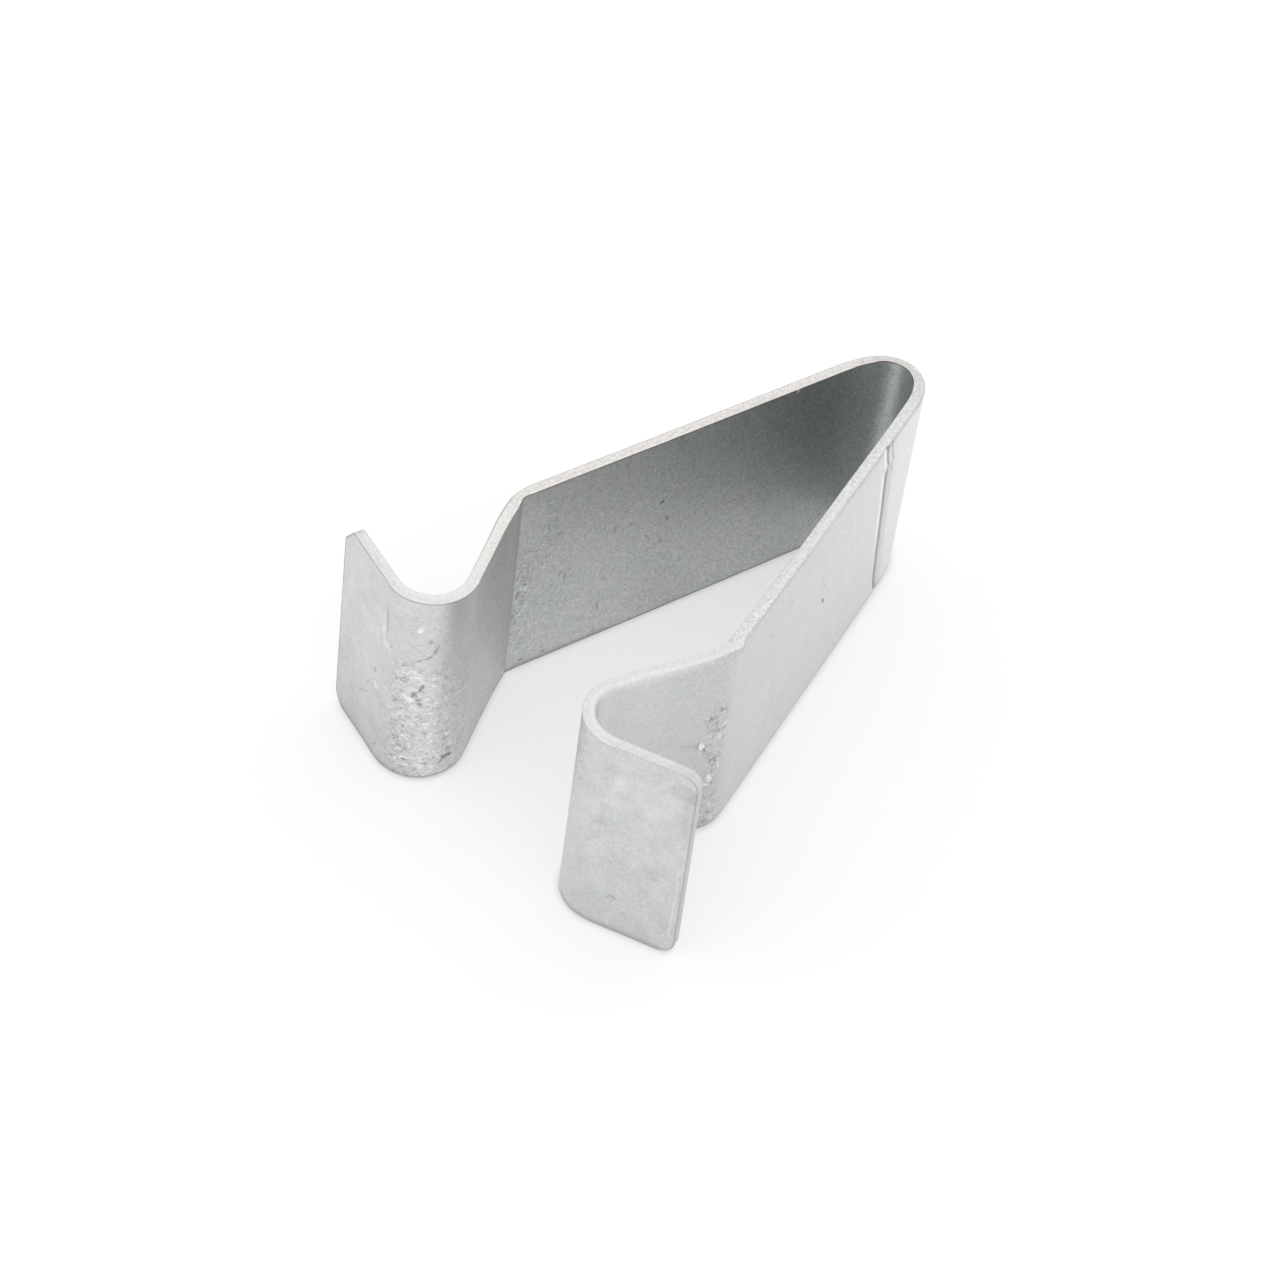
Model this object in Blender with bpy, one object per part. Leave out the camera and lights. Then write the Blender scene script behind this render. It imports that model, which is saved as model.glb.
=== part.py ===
"""Trim panel spring clip: one strip of spring steel, cut to length and folded.

The clip stands on its long cut edge, +Z up, with the middle of its footprint at the origin.
The folded nose points along +X and the two flared lips lie at -X. All sizes are in metres.
"""

import math

import bmesh
import bpy

# Strip
STRIP_WIDTH = 0.0100          # height of the standing clip
SHEET = 0.0005                # gauge of the strip
END_CORNER_RADIUS = 0.0007    # rounded corners at both ends of the strip
ROLLOVER = 0.00009            # edge drawn round by the shear, on the outer face
BURR_BREAK = 0.00003          # small break left on the inner face's edge

# Folds, from the nose to the lip; a radius is the one on the inside of its bend unless it says
# otherwise
NOSE_RADIUS = 0.00115
NOSE_HALF_TURN = math.radians(54.5)
SHOULDER_RADIUS = 0.0027      # easier bend that runs from the nose into each arm
ARM_SLOPE = math.radians(14.5)    # each arm's angle to the clip's centre line
ARM_LENGTH = 0.0159
ELBOW_OUTER_RADIUS = 0.0017   # outside of the elbow, whose inside is struck to a sharp corner
LEG_SLOPE = math.radians(23.6)    # each leg closes in at this angle to the centre line
LEG_LENGTH = 0.0045
NECK_RADIUS = 0.0014
LIP_LEAN = math.radians(17.7)     # each lip leans back towards the nose, from square
LIP_LENGTH = 0.0035

# Line pressed aslant across the outer face of one arm by the folding tool
TOOL_LINE_FROM_SHOULDER = 0.0020  # along the arm at mid-height, from the end of the shoulder bend
TOOL_LINE_SLANT = math.radians(7.5)
TOOL_LINE_WIDTH = 0.00020
TOOL_LINE_DEPTH = 0.00004

# Smoothness of the curved stretches
FACET_TURN = math.radians(4.0)
CORNER_SEGMENTS = 8
ROLLOVER_SEGMENTS = 2
SHARP_ANGLE = math.radians(30.0)
ON_PLANE = 1e-7

ZINC_COLOUR = (0.60, 0.62, 0.61, 1.0)
ZINC_ROUGHNESS = 0.42
ZINC_METALLIC = 0.9


def clear_scene():
    """Remove whatever the file holds."""
    for old in list(bpy.data.objects):
        bpy.data.objects.remove(old, do_unlink=True)


def bend(inside_radius, turn):
    """One bent run of the strip: its length along mid-sheet and the angle it turns."""
    return (inside_radius + SHEET / 2) * abs(turn), turn


def half_runs():
    """The runs of one half of the strip, each a length along mid-sheet and a turn."""
    shoulder_turn = math.pi / 2 - ARM_SLOPE - NOSE_HALF_TURN
    neck_turn = LEG_SLOPE + math.pi / 2 + LIP_LEAN
    return [
        bend(NOSE_RADIUS, NOSE_HALF_TURN),
        bend(SHOULDER_RADIUS, shoulder_turn),
        (ARM_LENGTH, 0.0),
        bend(ELBOW_OUTER_RADIUS - SHEET, ARM_SLOPE + LEG_SLOPE),
        (LEG_LENGTH, 0.0),
        bend(NECK_RADIUS, -neck_turn),
        (LIP_LENGTH, 0.0),
    ]


RUNS = half_runs()
ELBOW = 3                     # the elbow's place among the runs
HALF_LENGTH = sum(length for length, turn in RUNS)
ARM_START = RUNS[0][0] + RUNS[1][0]
ELBOW_START = ARM_START + ARM_LENGTH
TOOL_LINE_AT = ARM_START + TOOL_LINE_FROM_SHOULDER


def fold(along, off):
    """Plan position of a point of the flat strip once it is folded.

    along is measured from the nose along mid-sheet, off from mid-sheet towards the outer face.
    """
    side = 1.0 if along >= 0 else -1.0
    left = abs(along)
    x = 0.0
    y = 0.0
    heading = math.pi / 2
    for length, turn in RUNS:
        step = min(left, length)
        if turn:
            radius = length / turn
            swept = turn * step / length
            x += radius * (math.sin(heading + swept) - math.sin(heading))
            y += radius * (math.cos(heading) - math.cos(heading + swept))
            heading += swept
        else:
            x += step * math.cos(heading)
            y += step * math.sin(heading)
        left -= step
        if left <= 0:
            break
    x += off * math.sin(heading)
    y -= off * math.cos(heading)
    return x, side * y


def bend_stations():
    """Distances along one half of the strip at which it is cut into facets to bend."""
    stations = []
    start = 0.0
    for length, turn in RUNS:
        steps = max(1, math.ceil(abs(turn) / FACET_TURN))
        stations += [start + length * step / steps for step in range(1, steps + 1)]
        start += length
    return stations[:-1]


def flat_blank():
    """The strip before folding: a plate along X, SHEET thick in Y, with rounded corners."""
    blank = bmesh.new()
    bmesh.ops.create_cube(blank, size=1.0)
    bmesh.ops.scale(blank, vec=(2 * HALF_LENGTH, SHEET, STRIP_WIDTH), verts=blank.verts)
    bmesh.ops.translate(blank, vec=(0, 0, STRIP_WIDTH / 2), verts=blank.verts)
    corners = [edge for edge in blank.edges
               if abs(edge.verts[0].co.y - edge.verts[1].co.y) > SHEET / 2]
    bmesh.ops.bevel(blank, geom=corners, offset=END_CORNER_RADIUS, segments=CORNER_SEGMENTS,
                    profile=0.5, affect='EDGES', clamp_overlap=True)
    break_edges(blank, SHEET / 2, ROLLOVER, ROLLOVER_SEGMENTS)
    break_edges(blank, -SHEET / 2, BURR_BREAK, 1)
    return blank


def break_edges(blank, face_y, width, segments):
    """Round the whole rim of the face that lies at face_y."""
    rim = [edge for edge in blank.edges
           if all(abs(vert.co.y - face_y) < ON_PLANE for vert in edge.verts)]
    bmesh.ops.bevel(blank, geom=rim, offset=width, segments=segments, profile=0.5,
                    affect='EDGES', clamp_overlap=True)


def cut_across(blank, along, slant=0.0):
    """Cut the blank across at a distance along it; slant leans the cut's top from the nose."""
    everything = blank.verts[:] + blank.edges[:] + blank.faces[:]
    bmesh.ops.bisect_plane(blank, geom=everything, dist=ON_PLANE,
                           plane_co=(along, 0, STRIP_WIDTH / 2),
                           plane_no=(math.cos(slant), 0, math.sin(slant)))


def press_tool_line(blank):
    """Press a shallow line into the outer face of the arm on the -Y side."""
    half_width = TOOL_LINE_WIDTH / 2 / math.cos(TOOL_LINE_SLANT)
    for across in (-half_width, 0.0, half_width):
        cut_across(blank, across - TOOL_LINE_AT, TOOL_LINE_SLANT)
    for vert in blank.verts:
        middle = math.tan(TOOL_LINE_SLANT) * (STRIP_WIDTH / 2 - vert.co.z) - TOOL_LINE_AT
        if abs(vert.co.x - middle) < ON_PLANE and vert.co.y > 0:
            vert.co.y -= TOOL_LINE_DEPTH


def strike_elbows(blank):
    """Drive the inside of each elbow outwards, onto the lines of the arm's and leg's faces."""
    length, turn = RUNS[ELBOW]
    for vert in blank.verts:
        past_start = abs(vert.co.x) - ELBOW_START
        from_bend_end = min(past_start, length - past_start)
        if vert.co.y < 0 < from_bend_end:
            swept = turn * from_bend_end / length
            vert.co.y += (ELBOW_OUTER_RADIUS - SHEET) * (1 / math.cos(swept) - 1)


def fold_blank(blank):
    """Fold the flat blank, then put the middle of its footprint at the origin."""
    for vert in blank.verts:
        vert.co.x, vert.co.y = fold(vert.co.x, vert.co.y)
    xs = [vert.co.x for vert in blank.verts]
    bmesh.ops.translate(blank, vec=(-(min(xs) + max(xs)) / 2, 0, 0), verts=blank.verts)
    bmesh.ops.recalc_face_normals(blank, faces=blank.faces)


def zinc_coated_steel():
    """Satin zinc coat on spring steel."""
    material = bpy.data.materials.new("zinc_coated_steel")
    material.use_nodes = True
    shader = material.node_tree.nodes["Principled BSDF"]
    shader.inputs["Base Color"].default_value = ZINC_COLOUR
    shader.inputs["Roughness"].default_value = ZINC_ROUGHNESS
    shader.inputs["Metallic"].default_value = ZINC_METALLIC
    return material


def make_spring_clip():
    """Blank, facet, mark and fold the strip into the clip."""
    blank = flat_blank()
    cut_across(blank, 0.0)
    for station in bend_stations():
        cut_across(blank, station)
        cut_across(blank, -station)
    press_tool_line(blank)
    strike_elbows(blank)
    fold_blank(blank)
    mesh = bpy.data.meshes.new("spring_clip")
    blank.to_mesh(mesh)
    blank.free()
    mesh.shade_smooth()
    mesh.set_sharp_from_angle(angle=SHARP_ANGLE)
    mesh.materials.append(zinc_coated_steel())
    clip = bpy.data.objects.new("spring_clip", mesh)
    bpy.context.scene.collection.objects.link(clip)
    return clip


clear_scene()
make_spring_clip()
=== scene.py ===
# %% [markdown]
# A spring clip for a trim panel.
# The real object is one strip of zinc coated spring steel, 10 mm wide and half a millimetre
# thick. It is cut from a coil with a shear, then folded into a V with two flared lips. This
# lesson makes the strip flat first and folds it second, as the factory does, because everything
# worth showing (the drawn edges, the tool's marks, the rubbed bends) is easiest to place on the
# flat strip.

# %% Load the frame
import math
from functools import partial

import bpy
import numpy as np
from mathutils import Matrix, Vector, noise


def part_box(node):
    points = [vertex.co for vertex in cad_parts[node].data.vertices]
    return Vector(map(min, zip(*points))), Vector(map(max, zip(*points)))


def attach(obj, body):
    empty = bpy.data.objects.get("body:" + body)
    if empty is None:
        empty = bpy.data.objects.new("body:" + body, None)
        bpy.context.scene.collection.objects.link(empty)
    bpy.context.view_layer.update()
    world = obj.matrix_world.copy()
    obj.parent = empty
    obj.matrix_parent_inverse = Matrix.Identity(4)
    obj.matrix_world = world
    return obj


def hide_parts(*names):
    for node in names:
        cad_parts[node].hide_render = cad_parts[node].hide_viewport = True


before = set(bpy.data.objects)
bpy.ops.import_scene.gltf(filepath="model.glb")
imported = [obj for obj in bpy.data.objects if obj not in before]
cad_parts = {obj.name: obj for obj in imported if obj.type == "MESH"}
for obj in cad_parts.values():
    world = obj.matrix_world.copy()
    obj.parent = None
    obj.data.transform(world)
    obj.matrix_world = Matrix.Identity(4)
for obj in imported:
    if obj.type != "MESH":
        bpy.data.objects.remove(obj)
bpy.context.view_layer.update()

MM = 0.001
CLIP = "spring_clip"
node_low, node_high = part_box(CLIP)
print("the packed clip, in mm:", [round(side / MM, 3) for side in (node_high - node_low)])

# %% [markdown]
# Sizes of the strip and of its folds.
# A folded part is described by the runs of its centre line: how long each is and how far it
# turns. A flat run turns by nothing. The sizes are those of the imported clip, from the nose to the
# lip, and both halves of the strip are alike.

# %% Sizes
STRIP_WIDTH = 10.0 * MM
SHEET = 0.5 * MM
END_CORNER = 0.7 * MM
CLIPPED_ALONG = 0.60 * MM     # the left end's upper corner is clipped straight, not rounded
CLIPPED_DOWN = 0.80 * MM
NOSE_RADIUS = 1.15 * MM
NOSE_HALF_TURN = math.radians(54.5)
SHOULDER_RADIUS = 2.7 * MM
ARM_SLOPE = math.radians(14.5)
ARM_LENGTH = 15.9 * MM
ELBOW_OUTER_RADIUS = 1.7 * MM
LEG_SLOPE = math.radians(23.6)
LEG_LENGTH = 4.5 * MM
NECK_RADIUS = 1.4 * MM
LIP_LEAN = math.radians(17.7)
LIP_LENGTH = 3.5 * MM


def bend(inside_radius, turn):
    """Length along mid-sheet and turn of one bend."""
    return (inside_radius + SHEET / 2) * abs(turn), turn


RUNS = {
    "Nose": bend(NOSE_RADIUS, NOSE_HALF_TURN),
    "Shoulder": bend(SHOULDER_RADIUS, math.pi / 2 - ARM_SLOPE - NOSE_HALF_TURN),
    "Arm": (ARM_LENGTH, 0.0),
    "Elbow": bend(ELBOW_OUTER_RADIUS - SHEET, ARM_SLOPE + LEG_SLOPE),
    "Leg": (LEG_LENGTH, 0.0),
    "Neck": bend(NECK_RADIUS, -(LEG_SLOPE + math.pi / 2 + LIP_LEAN)),
    "Lip": (LIP_LENGTH, 0.0),
}
RUN_END = dict(zip(RUNS, np.cumsum([length for length, turn in RUNS.values()])))
HALF_LENGTH = RUN_END["Lip"]
for name, end in RUN_END.items():
    print(f"{name} ends {end / MM:.2f} mm from the nose")

# %% [markdown]
# Where the flat strip gets its points.
# A bend needs many rows of points across the strip, a flat run needs few. Rows also stand close
# wherever the steel is marked: at the line that the tool pressed into one arm, at the elbows and
# at the rubbed necks. The last rows of each half follow the rounded corners of the strip's end.

# %% Rows of points along the strip
CORNER_STEPS = 10
ELBOW_MIDDLE = (RUN_END["Arm"] + RUN_END["Elbow"]) / 2 / MM
# where each zone ends, from the nose, and how far apart its rows stand, in mm
LEFT_ZONES = [
    (RUN_END["Shoulder"] / MM, 0.10), (RUN_END["Arm"] / MM, 0.20), (ELBOW_MIDDLE, 0.05),
    (RUN_END["Elbow"] / MM, 0.05), (RUN_END["Leg"] / MM, 0.15), (RUN_END["Neck"] / MM, 0.065),
    ((HALF_LENGTH - END_CORNER) / MM, 0.12),
]
RIGHT_ZONES = [
    (RUN_END["Shoulder"] / MM, 0.10), (5.7, 0.065), (9.7, 0.20), (10.5, 0.07),
    (RUN_END["Arm"] / MM, 0.20), (ELBOW_MIDDLE, 0.05), (RUN_END["Elbow"] / MM, 0.05),
    (20.2, 0.08), (RUN_END["Leg"] / MM, 0.20), (RUN_END["Neck"] / MM, 0.10),
    ((HALF_LENGTH - END_CORNER) / MM, 0.16),
]


def half_stations(zones, side):
    """Straight distance and corner angle of each row in one half, the nose's row left out."""
    rows = []
    start = 0.0
    for end, spacing in zones:
        steps = max(1, round((end - start) / spacing))
        rows += [(start + (end - start) * step / steps, 0.0) for step in range(1, steps + 1)]
        start = end
    for step in range(1, CORNER_STEPS + 1):
        rows.append((start, math.pi / 2 * step / CORNER_STEPS))
    return [(side * distance * MM, side, angle) for distance, angle in rows]


stations = np.array(half_stations(RIGHT_ZONES, -1.0)[::-1] + [(0.0, 1.0, 0.0)]
                    + half_stations(LEFT_ZONES, 1.0))
print("rows along the strip:", len(stations))

# %% [markdown]
# Rows across the strip.
# Marks on the faces need points every eighth of a millimetre, so the faces have as many rows
# across as the height asks for. Two closer rows by each long edge keep the drawn edges smooth.

# %% Rows of points across the strip
ROWS_ACROSS = 78
LAST_FACE_ROW = 0.965         # shares of the half width
EDGE_ROWS = [0.994, 0.982]    # the two closer rows by each long edge
inner_rows = np.linspace(-LAST_FACE_ROW, LAST_FACE_ROW, ROWS_ACROSS)
across = np.array([-1.0, *(-np.array(EDGE_ROWS)), *inner_rows, *EDGE_ROWS[::-1], 1.0])
print("rows across the strip:", len(across))

# %% [markdown]
# The sheared edge.
# A shear first presses the sheet's edge round, then cuts cleanly, then tears the rest and leaves
# a small burr. Going through the thickness, the edge is therefore a soft rollover, a smooth
# bright band and a rougher, duller band. Each row of the list below is one loop of points round
# the whole strip: how far in from the outline it lies, and how far from mid-sheet.

# %% The edge's profile through the sheet
ROLLOVER = 0.12 * MM
BURR_BREAK = 0.02 * MM
ROLLOVER_STEPS = 4
CUT_AND_TORN = [(0.0, 0.06), (0.006, -0.02), (0.012, -0.12), (0.006, -0.232)]    # in mm
edge_profile = []
for step in range(1, ROLLOVER_STEPS + 1):
    swept = math.pi / 2 * step / ROLLOVER_STEPS
    edge_profile.append((ROLLOVER * (1 - math.sin(swept)),
                         SHEET / 2 - ROLLOVER * (1 - math.cos(swept))))
edge_profile += [(inset * MM, off * MM) for inset, off in CUT_AND_TORN]
print("loops round the edge:", len(edge_profile))

# %% [markdown]
# The flat blank's points.
# The blank could be a cube with modifiers, but then nothing would know where a point is on the
# strip. Here each face is a grid of points and the cut edge is a stack of loops, all built from
# the same rows. The strip's ends have rounded corners, except the left end's upper corner, which
# is clipped.

# %% The flat blank's points
def sheet_points(inset, off):
    """Grid of points over the strip's outline, drawn in by inset, at a height off mid-sheet."""
    distance, side, angle = stations.T
    corner = angle > 0
    along = distance + side * np.where(corner, (END_CORNER - inset) * np.sin(angle), 0.0)

    rounded = np.where(corner, STRIP_WIDTH / 2 - END_CORNER + (END_CORNER - inset) * np.cos(angle),
                       STRIP_WIDTH / 2 - inset)
    slope_length = math.hypot(CLIPPED_ALONG, CLIPPED_DOWN)
    clipped = STRIP_WIDTH / 2 - (inset * slope_length + CLIPPED_DOWN
                                 * (np.abs(along) - HALF_LENGTH + CLIPPED_ALONG)) / CLIPPED_ALONG
    clipped = np.minimum(clipped, STRIP_WIDTH / 2 - inset)
    upper = np.where(side > 0, clipped, rounded)
    half = np.where(across[None, :] > 0, upper[:, None], rounded[:, None])
    grid = np.zeros((len(stations), len(across), 3))
    grid[..., 0] = along[:, None]
    grid[..., 1] = off
    grid[..., 2] = STRIP_WIDTH / 2 + half * across[None, :]
    return grid


def round_the_rim():
    """Grid places of the outline, once round."""
    last_row = len(stations) - 1
    last_line = len(across) - 1
    rim = [(row, 0) for row in range(last_row + 1)]
    rim += [(last_row, line) for line in range(1, last_line + 1)]
    rim += [(row, last_line) for row in range(last_row - 1, -1, -1)]
    rim += [(0, line) for line in range(last_line - 1, 0, -1)]
    return np.array(rim)


rim = round_the_rim()
outer_face = sheet_points(ROLLOVER, SHEET / 2)
inner_face = sheet_points(BURR_BREAK, -SHEET / 2)
loops = [sheet_points(inset, off)[rim[:, 0], rim[:, 1]] for inset, off in edge_profile]
flat = np.concatenate([outer_face.reshape(-1, 3), inner_face.reshape(-1, 3), *loops])
GRID = len(stations) * len(across)
print("points of the blank:", len(flat))

# %% [markdown]
# Faces between the points.
# Two grids are joined by the loops of the edge. The face that ends up outside the V is wound the
# other way from the inner one, so that every normal points out of the steel.

# %% The blank's faces
def grid_faces(start, turned):
    """Four-sided faces of one grid, wound the other way if turned."""
    row, line = np.meshgrid(np.arange(len(stations) - 1), np.arange(len(across) - 1),
                            indexing="ij")
    corner = start + row * len(across) + line
    faces = np.stack([corner, corner + 1, corner + 1 + len(across), corner + len(across)], -1)
    return faces.reshape(-1, 4)[:, ::-1] if turned else faces.reshape(-1, 4)


def edge_faces():
    """Faces of the band between the two grids."""
    rim_place = rim[:, 0] * len(across) + rim[:, 1]
    rings = [rim_place]
    rings += [2 * GRID + loop * len(rim) + np.arange(len(rim)) for loop in range(len(loops))]
    rings.append(GRID + rim_place)
    bands = []
    for upper, lower in zip(rings, rings[1:]):
        bands.append(np.stack([upper, np.roll(upper, -1), np.roll(lower, -1), lower], -1))
    return np.concatenate(bands)


faces = np.concatenate([grid_faces(0, True), grid_faces(GRID, False), edge_faces()[:, ::-1]])
print("faces of the blank:", len(faces))

# %% [markdown]
# What folding does to the edges.
# A bent strip grows narrower on the stretched side and wider on the squeezed side, so at a tight
# bend its cut edge leans. The amount follows the bend's curvature and fades within a millimetre
# of the edge. The bend's curvature is eased at its ends, as real folds are.

# %% Curvature along the strip
EASE = 0.25 * MM


def smooth_step(value):
    """Soft ramp from 0 to 1."""
    value = np.clip(value, 0.0, 1.0)
    return value * value * (3 - 2 * value)


def curvature(along):
    """Signed curvature of the folded strip in 1/m, positive where the outer face is stretched."""
    distance = np.abs(along)
    total = np.zeros_like(distance)
    start = 0.0
    for length, turn in RUNS.values():
        if turn:
            rise = smooth_step((distance - start) / EASE + 0.5) if start else 1.0
            fall = smooth_step((start + length - distance) / EASE + 0.5)
            total = total + turn / length * rise * fall
        start += length
    return total


print(f"tightest bend: {MM / curvature(stations[:, 0]).max():.2f} mm along mid-sheet")


# %% [markdown]
# Move the edges.
# The curvature is known at every point, so the lean of the cut edge is a single product: a lever,
# times the curvature, times the distance from mid-sheet.

# %% Edges drawn in and pushed out by the folds
EDGE_LEVER = 0.30 * MM
EDGE_REACH = 1.0 * MM

along = flat[:, 0].copy()
off = flat[:, 1].copy()
up = flat[:, 2].copy()
half_height = np.abs(up - STRIP_WIDTH / 2)
by_edge = smooth_step((half_height - STRIP_WIDTH / 2 + EDGE_REACH) / EDGE_REACH)
edge_shift = -EDGE_LEVER * curvature(along) * off * by_edge
flat[:, 2] += np.sign(up - STRIP_WIDTH / 2) * edge_shift
print(f"edges move by {edge_shift.min() / MM:.3f} to {edge_shift.max() / MM:.3f} mm")

# %% [markdown]
# The struck elbows.
# The folding tool drives a sharp blade into the inside of each elbow. The outside stays round and
# the inside becomes a crisp corner on the lines of the arm and the leg.

# %% Strike the elbows
elbow_length, elbow_turn = RUNS["Elbow"]
past_start = np.abs(along) - RUN_END["Arm"]
from_bend_end = np.clip(np.minimum(past_start, elbow_length - past_start), 0.0, None)
towards_inside = np.clip((SHEET / 2 - off) / SHEET, 0.0, 1.0)
swept = elbow_turn * from_bend_end / elbow_length
struck = (ELBOW_OUTER_RADIUS - SHEET) * (1 / np.cos(swept) - 1) * towards_inside
flat[:, 1] += struck
print(f"the blade sinks {struck.max() / MM:.3f} mm")

EARLY_STRIKE = 0.05 * MM      # how much the left leg's inner face stands in, beside the corner
EARLY_BY = 0.15 * MM          # and how much nearer the nose that brings the corner
EARLY_FADES_OVER = 2.5 * MM
EARLY_FULL_HEIGHT = 2.0 * MM  # below this it falls to its share at the foot
EARLY_AT_FOOT = 0.4
corner_at = (RUN_END["Arm"] + RUN_END["Elbow"]) / 2
rise = np.clip((along - corner_at) / EARLY_BY + 1, 0.0, 1.0)
fall = smooth_step((RUN_END["Elbow"] + EARLY_FADES_OVER - along) / EARLY_FADES_OVER)
above_foot = EARLY_AT_FOOT + (1 - EARLY_AT_FOOT) * smooth_step(up / EARLY_FULL_HEIGHT)
flat[:, 1] -= EARLY_STRIKE * rise * fall * above_foot * towards_inside
print(f"the left corner comes {EARLY_BY / MM:.2f} mm nearer the nose")

# %% [markdown]
# A squeezed corner.
# At the right elbow the fold pushed the upper rim of the outer face out into a small point. It
# rises only near the rim and only over half a millimetre of the strip.

# %% The right elbow's upper corner
CORNER_PLACE = -18.38 * MM
CORNER_REACH = 0.45 * MM
CORNER_DEPTH = 0.9 * MM
CORNER_OUT = 0.17 * MM
by_corner = np.clip(1 - np.abs(along - CORNER_PLACE) / CORNER_REACH, 0.0, 1.0)
squeezed = (CORNER_OUT * by_corner * smooth_step((up - STRIP_WIDTH + CORNER_DEPTH) / CORNER_DEPTH)
            * np.clip(off / SHEET + 0.5, 0.0, 1.0))
flat[:, 1] += squeezed
print(f"the corner stands out by {squeezed.max() / MM:.3f} mm")

# %% [markdown]
# Marks in the steel.
# Each mark is written down once, by its place on the flat strip: how far from the nose and how
# high, in millimetres, with its length, width and slant. The same list presses a small dent into
# the mesh here and gives the coat its dark or bright spot later. A slant of 0 lies along the
# strip, 90 stands upright and anything between leans its top towards the strip's right end.

# %% The list of marks
# from nose, height, length, width, slant in degrees, depth, brightness from -1 to 1
OUTER_MARKS = [
    (-10.05, 5.20, 0.50, 0.22, 50, 0.020, -0.90),
    (-10.22, 6.28, 0.40, 0.12, 48, 0.006, -0.36),
    (-11.20, 3.75, 0.26, 0.16, 60, 0.006, -0.20),
    (-12.80, 5.90, 0.30, 0.16, 60, 0.005, -0.18),
    (-15.40, 7.90, 0.60, 0.10, 50, 0.003, -0.14),
    (-13.40, 2.80, 0.50, 0.12, 45, 0.004, -0.18),
    (-18.74, 5.98, 0.36, 0.18, 75, -0.020, 0.70),
    (-18.92, 5.30, 0.36, 0.16, 75, -0.018, 0.65),
    (-19.02, 5.66, 0.30, 0.16, 80, 0.012, -0.45),
    (-18.80, 5.16, 0.26, 0.14, 60, 0.012, -0.40),
    (-19.71, 5.06, 0.50, 0.26, 82, -0.030, 1.00),
    (-19.84, 5.16, 0.44, 0.12, 84, 0.014, -0.60),
    (-19.56, 4.80, 0.26, 0.12, 70, 0.012, -0.60),
    (-19.04, 6.86, 0.36, 0.18, 70, 0.012, -0.34),
    (-19.22, 6.44, 0.34, 0.20, 30, 0.012, -0.34),
    (-19.44, 6.56, 0.36, 0.16, 70, 0.012, -0.32),
    (-19.72, 6.55, 0.30, 0.12, 80, 0.010, -0.28),
    (-18.97, 6.62, 0.20, 0.14, 30, -0.010, 0.45),
    (-19.02, 4.05, 0.44, 0.12, 85, 0.010, -0.45),
    (-18.82, 3.60, 0.50, 0.12, 80, -0.012, 0.55),
    (-19.06, 3.46, 0.60, 0.11, 85, 0.010, -0.45),
    (-19.16, 3.02, 0.54, 0.16, 80, -0.014, 0.75),
    (-19.02, 2.66, 0.34, 0.14, 85, 0.010, -0.50),
    (-19.20, 2.62, 0.26, 0.14, 60, -0.010, 0.45),
    (-19.00, 1.42, 0.34, 0.13, 80, -0.012, 0.45),
    (-18.98, 0.92, 0.34, 0.16, 70, 0.012, -0.45),
    (-18.84, 0.50, 0.44, 0.12, 80, -0.012, 0.50),
    (-19.10, 0.40, 0.36, 0.16, 70, 0.012, -0.45),
]
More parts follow.
